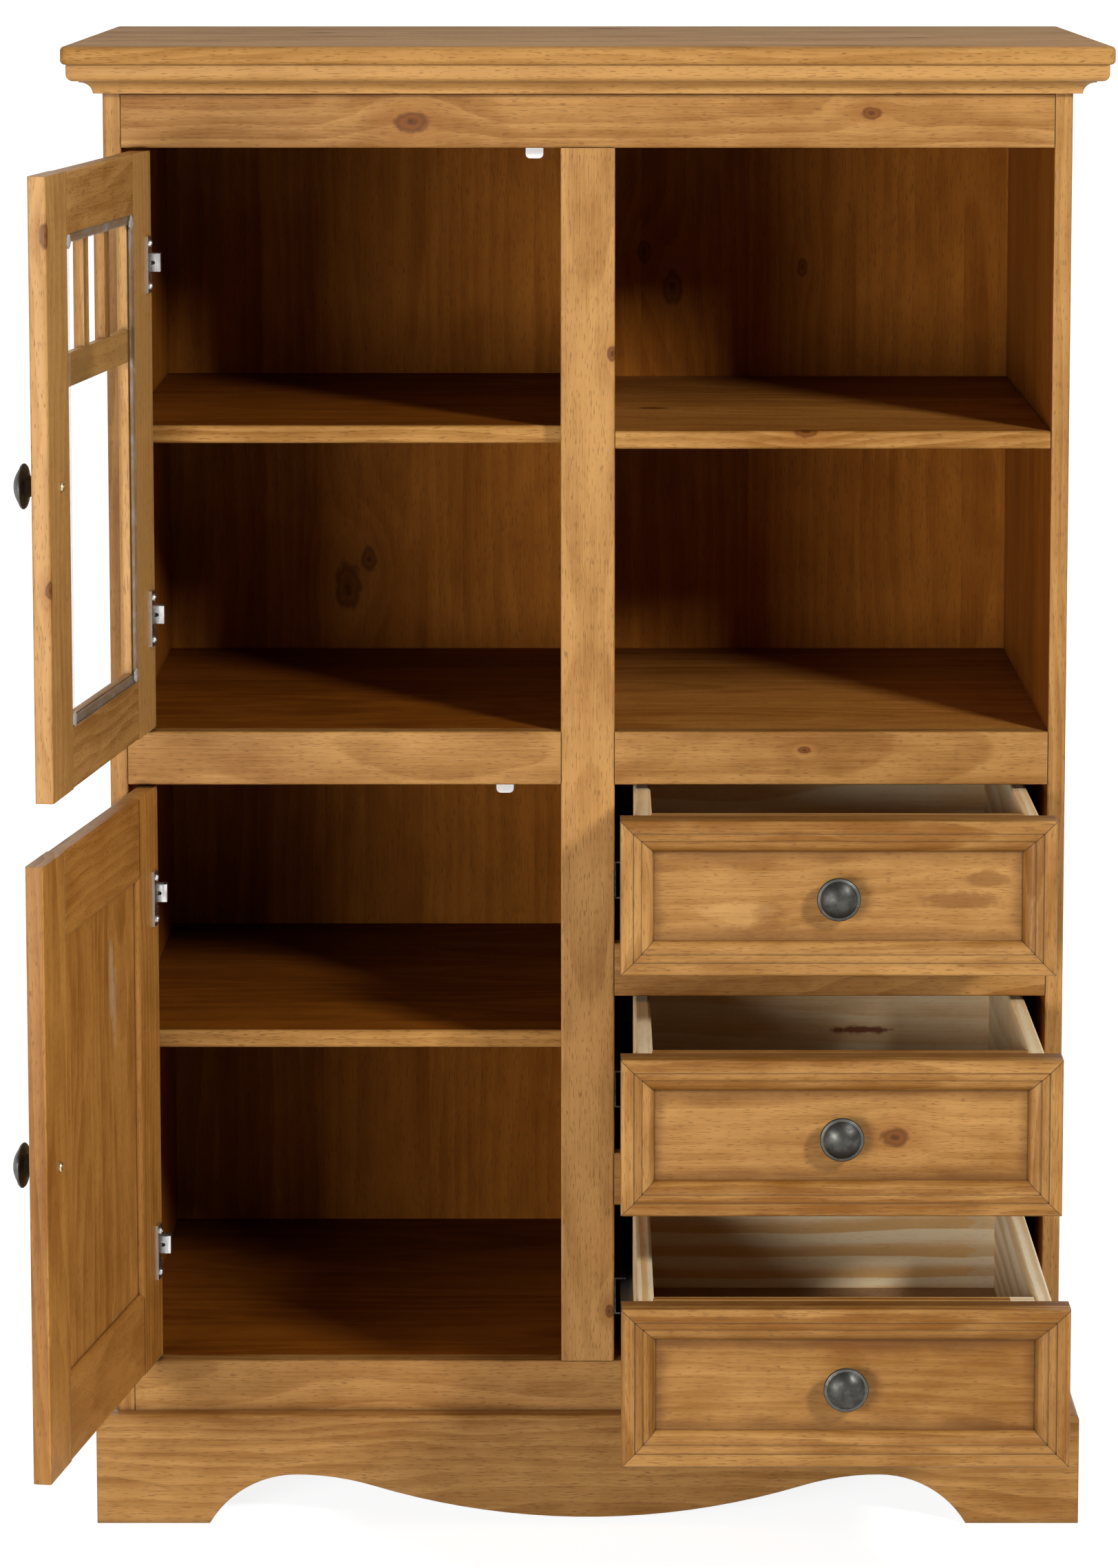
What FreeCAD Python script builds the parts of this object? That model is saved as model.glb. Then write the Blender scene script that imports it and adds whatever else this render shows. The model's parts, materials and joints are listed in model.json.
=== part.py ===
import FreeCAD, Part
import math
import os
import Sketcher

# Highboard, millimetres and degrees.
# X runs to the right, Y to the back, Z up. The origin is on the floor, mid-width, at the back of the carcass.

SIZES = {
    # carcass
    "body_width": 852,
    "carcass_depth": 492,
    "board": 16,
    "side_foot": 52,
    "bottom_rail_show": 46,
    "bottom_rail_tuck": 2,
    "drawer_opening": 144.5,
    "rail_height": 48,
    "display_height": 520,
    "stile_width": 48,
    "arris": 2,
    "rebate_width": 8,
    "rebate_depth": 8,
    "back_thickness": 6,
    # shelves
    "shelf_rise_right": 269.5,
    "shelf_rise_left": 272.5,
    "shelf_rise_lower": 301,
    "shelf_setback": 20,
    "shelf_front_inset": 1.5,
    "shelf_end_gap": 0.4,
    "shelf_nose": 3,
    "pin_width": 7,
    "pin_thickness": 2,
    "pin_length": 9,
    "pin_inset": 60,
    # top and cornice, the moulding measured out from the carcass and up from its top
    "top_overhang": 34,
    "top_back_overhang": 18,
    "slab_thickness": 16,
    "slab_corner": 8,
    "slab_arris": 4,
    "cornice_height": 26,
    "cornice_seat": 30,
    "cornice_reach": 29,
    "ovolo_foot": 22.5,
    "ovolo_base": 11.3,
    "ovolo_radius": 6.5,
    "fillet_reach": 18.7,
    "fillet_base": 10.2,
    "cove_foot": 7.6,
    "cove_base": 1,
    "cove_radius": 11,
    # plinth
    "plinth_height": 100,
    "plinth_board": 18,
    "plinth_arris": 4,
    "foot_width": 102,
    "foot_spring": 78.6,
    "apex_height": 45.4,
    "drop_height": 5.8,
    "apex_radius": 237,
    "corner_block": 36,
    # doors
    "door_gap": 2.5,
    "door_thickness": 15.5,
    "door_stile": 70,
    "glazed_rail": 52,
    "panelled_rail": 75,
    "door_ovolo": 5,
    "glass_lip": 8,
    "glass_seat": 10,
    "glass_thickness": 3,
    "glass_edge_gap": 0.5,
    "crossbar_height": 28,
    "crossbar_drop": 166,
    "muntin_width": 18,
    "panel_thickness": 5.5,
    "panel_groove": 6,
    "upper_door_open": 98,
    "lower_door_open": 99.5,
    # hinges
    "hinge_inset": 100,
    "pivot_inset": 10.3,
    "pivot_depth": 5,
    "pin_bore_clearance": 0.05,
    "hinge_pin_radius": 1.5,
    "knuckle_radius": 3.2,
    "arm_height": 16,
    "arm_sheet": 1.5,
    "arm_head": 16,
    "arm_reach": 19,
    "arm_crank": 25.5,
    "arm_foot": 62,
    "cheek_gap": 0.4,
    "cheek_sheet": 1.5,
    "notch_gap": 0.4,
    "notch_skin": 0.9,
    "notch_width": 16,
    "leaf_height": 50,
    "leaf_start": 8,
    "leaf_width": 14,
    "leaf_sheet": 2,
    "leaf_slot": 4.8,
    # knobs
    "knob_radius": 19,
    "knob_reach": 24,
    "knob_base_radius": 8,
    "knob_base": 1.6,
    "knob_neck_radius": 5.5,
    "knob_neck_low": 4.2,
    "knob_neck_high": 7,
    "knob_flare_radius": 10.7,
    "knob_flare": 12.4,
    "knob_rim_low": 14.4,
    "knob_rim": 3.2,
    "knob_rim_swell": 1.1,
    "knob_dome_radius": 16.6,
    "knob_edge": 40,
    # drawers
    "drawer_gap": 4,
    "drawer_panel": 14,
    "moulding_depth": 13,
    "moulding_width": 29,
    "band_width": 11,
    "band_step": 1.5,
    "bead_width": 18,
    "bead_depth": 2.6,
    "bead_radius": 9,
    "slope_depth": 4,
    "slope_radius": 13,
    "slope_edge": 0.6,
    "runner_space": 17,
    "box_side": 15,
    "box_front": 16,
    "box_length": 440,
    "box_clearance": 15,
    "box_drop": 1,
    "box_round": 3,
    "drawer_bottom": 4,
    "bottom_rise": 26,
    "bottom_groove": 5,
    "runner_rise": 52,
    "runner_sheet": 1.5,
    "runner_half": 17,
    "runner_gap": 0.5,
    "channel_flange": 10.5,
    "runner_flange": 11.5,
    "channel_inset": 2,
    "runner_inset": 5,
    "runner_length": 430,
    "batten_height": 48,
    "upper_drawer_out": 152,
    "middle_drawer_out": 230,
    "lower_drawer_out": 320,
    # door catches
    "catch_width": 15.5,
    "catch_depth": 12,
    "catch_hang": 10,
    "catch_hold": 20,
    "catch_round": 4,
    "upper_catch_inset": 23,
    "lower_catch_inset": 50,
}

doc = FreeCAD.newDocument("Highboard")
sheet = doc.addObject("Spreadsheet::Sheet", "Sizes")
for row, (alias, number) in enumerate(SIZES.items(), start=1):
    sheet.set(f"A{row}", alias)
    sheet.set(f"B{row}", str(number))
    sheet.setAlias(f"B{row}", alias)
doc.recompute()


class Size:
    """A length with its number and the sheet formula it comes from."""

    def __init__(self, value, text):
        self.value = float(value)
        self.text = text

    def __add__(self, other):
        return Size(self.value + number_of(other), f"({self.text} + {formula(other)})")

    def __radd__(self, other):
        return Size(number_of(other) + self.value, f"({formula(other)} + {self.text})")

    def __sub__(self, other):
        return Size(self.value - number_of(other), f"({self.text} - {formula(other)})")

    def __rsub__(self, other):
        return Size(number_of(other) - self.value, f"({formula(other)} - {self.text})")

    def __mul__(self, other):
        return Size(self.value * number_of(other), f"({self.text} * {formula(other)})")

    def __rmul__(self, other):
        return Size(number_of(other) * self.value, f"({formula(other)} * {self.text})")

    def __truediv__(self, other):
        return Size(self.value / number_of(other), f"({self.text} / {formula(other)})")

    def __neg__(self):
        return Size(-self.value, f"(0 - {self.text})")


def number_of(size):
    return size.value if isinstance(size, Size) else float(size)


def formula(size):
    if isinstance(size, Size):
        return size.text
    return f"(0 - {-size})" if size < 0 else str(size)


def bind(item, path, size):
    item.setExpression(path, formula(size))


class Sizes:
    """Every driving size by its name in the sheet."""


dim = Sizes()
for alias, number in SIZES.items():
    setattr(dim, alias, Size(number, f"Sizes.{alias}"))

nodes = {}
touch = 0.01
least_cut = 1


def place(item, x=0, y=0, z=0):
    for axis, size in zip("xyz", (x, y, z)):
        bind(item, f"Placement.Base.{axis}", size)
    return item


def board(name, x, y, z):
    """A square-edged board between the given low and high values on each axis."""
    item = doc.addObject("Part::Box", name)
    for path, (low, high) in zip(("Length", "Width", "Height"), (x, y, z)):
        bind(item, path, high - low)
    return place(item, x[0], y[0], z[0])


def arc_between(start, end, radius, inside_left):
    """Arc from start to end, with its middle left of the way when inside_left."""
    step = end - start
    height = math.sqrt(max(radius * radius - step.Length * step.Length / 4, 0))
    left = FreeCAD.Vector(-step.y, step.x, 0).normalize()
    middle = (start + end) * 0.5 + left * (height if inside_left else -height)
    first, last = (start, end) if inside_left else (end, start)
    angles = [math.atan2(point.y - middle.y, point.x - middle.x) for point in (first, last)]
    if angles[1] < angles[0]:
        angles[1] += 2 * math.pi
    circle = Part.Circle(middle, FreeCAD.Vector(0, 0, 1), radius)
    return Part.ArcOfCircle(circle, angles[0], angles[1])


def draw(sketch, points):
    """Closed outline. A third value on a point bows the way to the next point, outward when positive."""
    flat = [FreeCAD.Vector(number_of(point[0]), number_of(point[1]), 0) for point in points]
    count = len(flat)
    area = sum(here.x * there.y - there.x * here.y for here, there in zip(flat, flat[1:] + flat[:1]))
    offset = sketch.GeometryCount
    ends = []
    for index, point in enumerate(points):
        start = flat[index]
        end = flat[(index + 1) % count]
        if len(point) == 2:
            sketch.addGeometry(Part.LineSegment(start, end), False)
            ends.append((1, 2))
            continue
        outward = number_of(point[2]) > 0
        inside_left = outward == (area > 0)
        sketch.addGeometry(arc_between(start, end, abs(number_of(point[2])), inside_left), False)
        ends.append((1, 2) if inside_left else (2, 1))
    for index in range(count):
        following = (index + 1) % count
        meeting = (offset + index, ends[index][1], offset + following, ends[following][0])
        sketch.addConstraint(Sketcher.Constraint("Coincident", *meeting))
    for index, point in enumerate(points):
        for kind, size in (("DistanceX", point[0]), ("DistanceY", point[1])):
            place_rule = Sketcher.Constraint(kind, -1, 1, offset + index, ends[index][0], number_of(size))
            key = sketch.addConstraint(place_rule)
            bind(sketch, f"Constraints[{key}]", size)
        if len(point) == 3:
            radius = point[2] if number_of(point[2]) > 0 else -point[2]
            key = sketch.addConstraint(Sketcher.Constraint("Radius", offset + index, number_of(radius)))
            bind(sketch, f"Constraints[{key}]", radius)


def new_sketch(body, plane, name, outlines):
    sketch = body.newObject("Sketcher::SketchObject", name)
    support = [item for item in body.Origin.OriginFeatures if item.Role == plane][0]
    sketch.AttachmentSupport = (support, [""])
    sketch.MapMode = "FlatFace"
    for points in outlines:
        draw(sketch, points)
    return sketch


def profiled(name, plane, points, length):
    """A length of stock with the drawn section, run along X, against Y or along Z from its own plane."""
    body = doc.addObject("PartDesign::Body", name)
    sketch = new_sketch(body, plane, f"{name}_section", [points])
    pad = body.newObject("PartDesign::Pad", f"{name}_run")
    pad.Profile = sketch
    bind(pad, "Length", length)
    return body


def trimmed(body, plane, outlines):
    """Cuts the drawn outlines away, through everything on the side the stock lies."""
    doc.recompute()
    before = body.Shape.Volume
    sketch = new_sketch(body, plane, f"{body.Name}_trim_line", outlines)
    pocket = body.newObject("PartDesign::Pocket", f"{body.Name}_trim")
    pocket.Profile = sketch
    pocket.Type = "ThroughAll"
    pocket.Reversed = True
    doc.recompute()
    if not body.Shape.Volume < before - least_cut:
        raise RuntimeError(f"{body.Name}: the trim took nothing away")
    return body


def softened(body, radius, chosen):
    """Rounds the edges of the finished stock that the test picks."""
    doc.recompute()
    tip = body.Tip
    names = [f"Edge{index}" for index, edge in enumerate(tip.Shape.Edges, start=1) if chosen(edge)]
    if not names:
        raise RuntimeError(f"{body.Name}: no edge to soften")
    fillet = body.newObject("PartDesign::Fillet", f"{body.Name}_soft")
    fillet.Base = (tip, names)
    bind(fillet, "Radius", radius)
    body.Tip = fillet
    return body


def shaped(body, kind, name, sizes, x, y, z):
    """Adds or takes a plain box or cylinder within a body."""
    item = body.newObject(f"PartDesign::{kind}", name)
    for path, size in sizes.items():
        bind(item, path, size)
    for axis, size in zip("xyz", (x, y, z)):
        bind(item, f"Placement.Base.{axis}", size)
    return item


def fitted(base, tools):
    """A piece scribed to its neighbours."""
    for tool in tools:
        cut = doc.addObject("Part::Cut", f"{base.Name}_fit")
        cut.Base = base
        cut.Tool = tool
        base = cut
    return base


def group(name, items):
    item = doc.addObject("Part::Compound", name)
    item.Links = items
    nodes[name] = item
    return item


def keep(item):
    nodes[item.Name] = item
    return item


def nosed(low, high, bottom, top, radius):
    """Section with both front corners rounded, front to the low side."""
    return [
        (low + radius, bottom),
        (high, bottom),
        (high, top),
        (low + radius, top, radius),
        (low, top - radius),
        (low, bottom + radius, radius),
    ]


# Levels and planes shared by the pieces

half = dim.body_width / 2
inner = half - dim.board
stile_half = dim.stile_width / 2
wall_half = dim.board / 2
front = -dim.carcass_depth
behind_rail = front + dim.board
back_face = -dim.rebate_depth
deck_top = dim.plinth_height + dim.bottom_rail_show
pitch = dim.drawer_opening + dim.rail_height
mid_low = deck_top + dim.drawer_opening * 3 + dim.rail_height * 2
mid_top = mid_low + dim.rail_height
head_low = mid_top + dim.display_height
carcass_top = head_low + dim.rail_height
slab_low = carcass_top + dim.cornice_height
plinth_half = half + dim.plinth_board
plinth_front = front - dim.plinth_board

# Side panels, eased in front and rebated behind for the back panel


def side_panel(name, side):
    rebate = inner + dim.rebate_width
    points = [
        (side * half, front + dim.arris, dim.arris),
        (side * (half - dim.arris), front),
        (side * (inner + dim.arris), front, dim.arris),
        (side * inner, front + dim.arris),
        (side * inner, back_face),
        (side * rebate, back_face),
        (side * rebate, 0.0),
        (side * half, 0.0),
    ]
    return keep(place(profiled(name, "XY_Plane", points, carcass_top - dim.side_foot), z=dim.side_foot))


side_panel("side_panel_left", -1)
side_panel("side_panel_right", 1)

# Centre partition with the stile on its front edge

deep = (behind_rail, back_face)
keep(board("centre_partition", (-wall_half, wall_half), deep, (deck_top, carcass_top - dim.board)))
stile_points = [
    (-stile_half, front + dim.arris, dim.arris),
    (-stile_half + dim.arris, front),
    (stile_half - dim.arris, front, dim.arris),
    (stile_half, front + dim.arris),
    (stile_half, behind_rail),
    (-stile_half, behind_rail),
]
keep(place(profiled("centre_stile", "XY_Plane", stile_points, head_low - deck_top), z=deck_top))

# Front rails


def rail(name, left, right, bottom, top):
    points = nosed(front, behind_rail, bottom, top, dim.arris)
    return place(profiled(name, "YZ_Plane", points, right - left), x=left)


keep(rail("top_rail", -inner, inner, head_low, carcass_top))
keep(rail("bottom_rail", -inner, inner, dim.plinth_height - dim.bottom_rail_tuck, deck_top))
group(
    "mid_rails",
    [
        rail("mid_rail_left", -inner, -stile_half, mid_low, mid_top),
        rail("mid_rail_right", stile_half, inner, mid_low, mid_top),
    ],
)
drawer_floor = [deck_top + pitch * step for step in (2, 1, 0)]
group(
    "drawer_rails",
    [
        rail("drawer_rail_high", stile_half, inner, drawer_floor[0] - dim.rail_height, drawer_floor[0]),
        rail("drawer_rail_low", stile_half, inner, drawer_floor[1] - dim.rail_height, drawer_floor[1]),
    ],
)

# Decks, ceiling and back

keep(board("bottom_deck", (-inner, inner), deep, (deck_top - dim.board, deck_top)))
keep(board("mid_deck_left", (-inner, -wall_half), deep, (mid_top - dim.board, mid_top)))
keep(board("mid_deck_right", (wall_half, inner), deep, (mid_top - dim.board, mid_top)))
keep(board("top_panel", (-inner, inner), deep, (carcass_top - dim.board, carcass_top)))
back_edge = inner + dim.rebate_width
back_height = (deck_top - dim.board, carcass_top)
keep(board("back_panel", (-back_edge, back_edge), (back_face, back_face + dim.back_thickness), back_height))

# Shelves on pins

shelf_back = back_face - dim.shelf_end_gap
pins = []


def shelf_pins(name, left, right, front_edge, underside):
    """Four flat pins under a shelf, two on each wall."""
    spots = (front_edge + dim.pin_inset, back_face - dim.pin_inset)
    for row, depth in enumerate(spots):
        for column, start in enumerate((left, right - dim.pin_length)):
            wide = (depth - dim.pin_width / 2, depth + dim.pin_width / 2)
            height = (underside - dim.pin_thickness, underside)
            pins.append(board(f"{name}_pin_{row}_{column}", (start, start + dim.pin_length), wide, height))


def set_back_shelf(name, top):
    front_edge = front + dim.shelf_setback
    points = nosed(front_edge, shelf_back, top - dim.board, top, dim.shelf_nose)
    left = -inner + dim.shelf_end_gap
    right = -wall_half - dim.shelf_end_gap
    keep(place(profiled(name, "YZ_Plane", points, right - left), x=left))
    shelf_pins(name, -inner, -wall_half, front_edge, top - dim.board)


set_back_shelf("shelf_upper_left", mid_top + dim.shelf_rise_left)
set_back_shelf("shelf_lower_left", deck_top + dim.shelf_rise_lower)

display_top = mid_top + dim.shelf_rise_right
display_front = front + dim.shelf_front_inset
notch_side = stile_half + dim.shelf_end_gap
notch_back = behind_rail + dim.shelf_end_gap
display_left = wall_half + dim.shelf_end_gap
display_right = inner - dim.shelf_end_gap
display_points = nosed(display_front, shelf_back, display_top - dim.board, display_top, dim.shelf_nose)
display_shelf = profiled("shelf_upper_right", "YZ_Plane", display_points, display_right - display_left)
place(display_shelf, x=display_left)
notch = [
    (-dim.shelf_nose, display_front - dim.shelf_nose),
    (notch_side - display_left, display_front - dim.shelf_nose),
    (notch_side - display_left, notch_back),
    (-dim.shelf_nose, notch_back),
]
keep(trimmed(display_shelf, "XY_Plane", [notch]))
shelf_pins("shelf_upper_right", wall_half, inner, display_front, display_top - dim.board)
group("shelf_pins", pins)

# Top slab, rounded at its corners and along both arrises

slab_half = half + dim.top_overhang
slab_front = front - dim.top_overhang
slab_back = dim.top_back_overhang
turn = dim.slab_corner
slab_points = [
    (-slab_half, slab_front + turn, turn),
    (-slab_half + turn, slab_front),
    (slab_half - turn, slab_front, turn),
    (slab_half, slab_front + turn),
    (slab_half, slab_back - turn, turn),
    (slab_half - turn, slab_back),
    (-slab_half + turn, slab_back, turn),
    (-slab_half, slab_back - turn),
]
slab = place(profiled("top_slab", "XY_Plane", slab_points, dim.slab_thickness), z=slab_low)


def lies_flat(edge):
    box = edge.BoundBox
    return box.ZMax - box.ZMin < touch


keep(softened(slab, dim.slab_arris, lies_flat))

# Cornice, mitred at the front corners

cornice_outline = [
    (-dim.cornice_seat, 0.0),
    (dim.cove_foot, 0.0),
    (dim.cove_foot, dim.cove_base, -dim.cove_radius),
    (dim.fillet_reach, dim.fillet_base),
    (dim.fillet_reach, dim.ovolo_base),
    (dim.ovolo_foot, dim.ovolo_base, dim.ovolo_radius),
    (dim.cornice_reach, dim.ovolo_base + dim.ovolo_radius),
    (dim.cornice_reach, dim.cornice_height),
    (-dim.cornice_seat, dim.cornice_height),
]
cornice_half = half + dim.cornice_reach
cornice_in = half - dim.cornice_seat
cornice_front = front - dim.cornice_reach
cornice_behind = front + dim.cornice_seat


def moved(points, shift, sign):
    """The section laid out from a face, mirrored by the sign."""
    return [(shift + sign * point[0], *point[1:]) for point in points]


span = cornice_half * 2
cornice = profiled("cornice_front", "YZ_Plane", moved(cornice_outline, front, -1), span)
place(cornice, x=-cornice_half, z=carcass_top)
mitre = dim.cornice_reach + dim.cornice_seat
left_waste = [(0.0, cornice_front), (mitre, cornice_behind), (0.0, cornice_behind)]
right_waste = [(span, cornice_front), (span, cornice_behind), (span - mitre, cornice_behind)]
keep(trimmed(cornice, "XY_Plane", [left_waste, right_waste]))


def cornice_side(name, side):
    points = moved(cornice_outline, side * half, side)
    body = place(profiled(name, "XZ_Plane", points, -cornice_front), z=carcass_top)
    waste = [
        (side * cornice_half, cornice_front),
        (side * cornice_in, cornice_behind),
        (side * cornice_in, cornice_front),
    ]
    return trimmed(body, "XY_Plane", [waste])


group("cornice_sides", [cornice_side("cornice_left", -1), cornice_side("cornice_right", 1)])
cornice_rear = (-dim.cornice_seat, 0.0)
keep(board("cornice_back_rail", (-cornice_in, cornice_in), cornice_rear, (carcass_top, slab_low)))

# Plinth with a scalloped front and cut-out sides, mitred in front

foot_in = plinth_half - dim.foot_width
apex = foot_in - dim.foot_spring
foot_radius = (dim.foot_spring * dim.foot_spring + dim.apex_height * dim.apex_height) / (dim.apex_height * 2)
fall = dim.apex_height - dim.drop_height
sweep = (apex * apex + fall * fall) / (fall * 2)
drop_radius = sweep - dim.apex_radius
share = dim.apex_radius / sweep
bend = apex - apex * share
bend_height = dim.apex_height - fall * share
scallop = [
    (-plinth_half, 0.0),
    (-foot_in, 0.0, -foot_radius),
    (-apex, dim.apex_height, -dim.apex_radius),
    (-bend, bend_height, drop_radius),
    (bend, bend_height, -dim.apex_radius),
    (apex, dim.apex_height, -foot_radius),
    (foot_in, 0.0),
    (plinth_half, 0.0),
    (plinth_half, dim.plinth_height),
    (-plinth_half, dim.plinth_height),
]


def top_edge_at(axis, size):
    """Picks the long edge along the top of a plinth board, on its show face."""

    def chosen(edge):
        middle = edge.CenterOfMass
        at_top = abs(middle.z - SIZES["plinth_height"]) < touch
        at_face = abs(getattr(middle, axis) - number_of(size)) < touch
        return at_top and at_face and edge.Length > SIZES["foot_width"]

    return chosen


board_front = place(profiled("plinth_front", "XZ_Plane", scallop, dim.plinth_board), y=front)
softened(board_front, dim.plinth_arris, top_edge_at("y", -dim.plinth_board))
corner_left = [(-plinth_half, -dim.plinth_board), (-half, 0.0), (-plinth_half, 0.0)]
corner_right = [(plinth_half, -dim.plinth_board), (plinth_half, 0.0), (half, 0.0)]
keep(trimmed(board_front, "XY_Plane", [corner_left, corner_right]))

foot_front = plinth_front + dim.foot_width
side_cut = [
    (plinth_front, 0.0),
    (foot_front, 0.0, -foot_radius),
    (foot_front + dim.foot_spring, dim.apex_height),
    (-dim.foot_width - dim.foot_spring, dim.apex_height, -foot_radius),
    (-dim.foot_width, 0.0),
    (0.0, 0.0),
    (0.0, dim.plinth_height),
    (plinth_front, dim.plinth_height),
]


def plinth_side(name, side):
    start = half if side > 0 else -plinth_half
    body = place(profiled(name, "YZ_Plane", side_cut, dim.plinth_board), x=start)
    show = dim.plinth_board if side > 0 else 0.0
    hidden = 0.0 if side > 0 else dim.plinth_board
    softened(body, dim.plinth_arris, top_edge_at("x", show))
    waste = [(show, plinth_front), (hidden, plinth_front), (hidden, front)]
    return trimmed(body, "XY_Plane", [waste])


group("plinth_sides", [plinth_side("plinth_left", -1), plinth_side("plinth_right", 1)])
keep(board("plinth_rear_rail", (-inner, inner), (-dim.board, 0.0), (0.0, deck_top - dim.board)))
block_sides = {"left": (-half, -half + dim.corner_block), "right": (half - dim.corner_block, half)}
block_ends = {
    "front": (front, front + dim.corner_block),
    "rear": (-dim.board - dim.corner_block, -dim.board),
}
blocks = []
for side_name, block_x in block_sides.items():
    for end_name, block_y in block_ends.items():
        blocks.append(board(f"block_{end_name}_{side_name}", block_x, block_y, (0.0, dim.side_foot)))
group("plinth_corner_blocks", blocks)

# Knobs, turned


def knob(name, x, y, z):
    """A turned knob with its base on the plane y, pointing forward."""
    rim_top = dim.knob_rim_low + dim.knob_rim
    rim_root = dim.knob_radius - dim.knob_rim_swell
    rise = dim.knob_reach - rim_top
    dome = (dim.knob_dome_radius * dim.knob_dome_radius + rise * rise) / (rise * 2)
    points = [
        (0.0, 0.0),
        (dim.knob_base_radius, 0.0),
        (dim.knob_base_radius, dim.knob_base),
        (dim.knob_neck_radius, dim.knob_neck_low),
        (dim.knob_neck_radius, dim.knob_neck_high),
        (dim.knob_flare_radius, dim.knob_flare),
        (rim_root, dim.knob_rim_low),
        (dim.knob_radius, dim.knob_rim_low + dim.knob_rim_swell),
        (dim.knob_radius, rim_top - dim.knob_rim_swell),
        (rim_root, rim_top),
        (dim.knob_dome_radius, rim_top, dome),
        (0.0, dim.knob_reach),
    ]
    body = doc.addObject("PartDesign::Body", name)
    sketch = new_sketch(body, "XZ_Plane", f"{name}_section", [points])
    turned = body.newObject("PartDesign::Revolution", f"{name}_turned")
    turned.Profile = sketch
    turned.ReferenceAxis = (sketch, ["V_Axis"])
    turned.Angle = 360
    body.Placement = FreeCAD.Placement(FreeCAD.Vector(), FreeCAD.Rotation(FreeCAD.Vector(1, 0, 0), 90))
    return place(body, x, y, z)


# Doors, drawn shut about their own hinge line and then swung to the angle they are kept at

hang = dim.door_gap + dim.pivot_inset
pivot_x = -inner + hang
pivot_y = front + dim.pivot_depth
edge = -dim.pivot_inset
door_width = inner - stile_half - dim.door_gap * 2
free = edge + door_width
face = -dim.pivot_depth
door_back = face + dim.door_thickness
thick = dim.door_thickness
ovolo = dim.door_ovolo
arm_half = dim.arm_height / 2
cheek_low = arm_half + dim.cheek_gap
cheek_high = cheek_low + dim.cheek_sheet
notch_half = cheek_high + dim.notch_gap


def outer_edge():
    """The squared outer edge of a door stile or rail, eased on both corners."""
    return [(dim.arris, thick, dim.arris), (0.0, thick - dim.arris), (0.0, dim.arris, dim.arris)]


def glazed_section(width):
    sight = width + dim.glass_lip
    return [
        (dim.arris, 0.0),
        (sight - ovolo, 0.0, ovolo),
        (sight, ovolo),
        (sight, dim.glass_seat),
        (width, dim.glass_seat),
        (width, thick),
    ] + outer_edge()


def panelled_section(width):
    groove_front = (thick - dim.panel_thickness) / 2
    groove_back = (thick + dim.panel_thickness) / 2
    return [
        (dim.arris, 0.0),
        (width - groove_front, 0.0, groove_front),
        (width, groove_front),
        (width - dim.panel_groove, groove_front),
        (width - dim.panel_groove, groove_back),
        (width, groove_back, groove_front),
        (width - groove_front, thick),
    ] + outer_edge()


def across(points, start, sign):
    """Section laid in plan: in from the edge at start, and back from the face."""
    return [(start + sign * point[0], face + point[1], *point[2:]) for point in points]


def upright(points, start, sign):
    """Section laid in side view: in from the edge at start, and back from the face."""
    return [(face + point[1], start + sign * point[0], *point[2:]) for point in points]


def hung(name, items, angle):
    """A group of door pieces on the hinge line, swung open by the angle."""
    item = group(name, items)
    swing = FreeCAD.Rotation(FreeCAD.Vector(0, 0, -1), angle.value)
    item.Placement = FreeCAD.Placement(FreeCAD.Vector(), swing)
    bind(item, "Placement.Rotation.Angle", angle)
    return place(item, pivot_x, pivot_y)


def hinge_leaf(name, height):
    """Flanged leaf on the inner face of a door, with two cheeks let into the stile for the pin."""
    leaf_half = dim.leaf_height / 2
    start = edge + dim.leaf_start
    slot = dim.leaf_slot
    points = [
        (start, door_back),
        (start + dim.leaf_width, door_back),
        (start + dim.leaf_width, door_back + dim.leaf_sheet),
        (start, door_back + dim.leaf_sheet),
    ]
    body = place(profiled(name, "XY_Plane", points, dim.leaf_height), z=height - leaf_half)
    opening = {"Length": slot * 2, "Width": dim.leaf_sheet * 3, "Height": cheek_low * 2}
    at = (start - slot, door_back - dim.leaf_sheet, leaf_half - cheek_low)
    shaped(body, "SubtractiveBox", f"{name}_slot", opening, *at)
    depth = dim.pivot_depth - dim.notch_skin * 2
    cheek_start = -dim.hinge_pin_radius * 2
    cheek_end = edge + dim.notch_width - dim.notch_gap
    cheek = {"Length": cheek_end - cheek_start, "Width": depth + door_back, "Height": dim.cheek_sheet}
    for count, level in enumerate((leaf_half - cheek_high, leaf_half + cheek_low)):
        shaped(body, "AdditiveBox", f"{name}_cheek_{count}", cheek, cheek_start, -depth, level)
    bore = {"Radius": dim.hinge_pin_radius, "Height": cheek_high * 2}
    shaped(body, "SubtractiveCylinder", f"{name}_bore", bore, 0, 0, leaf_half - cheek_high)
    pin = doc.addObject("Part::Cylinder", f"{name}_pin")
    for path, size in bore.items():
        bind(pin, path, size)
    return [body, place(pin, 0, 0, height - cheek_high)]


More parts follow.
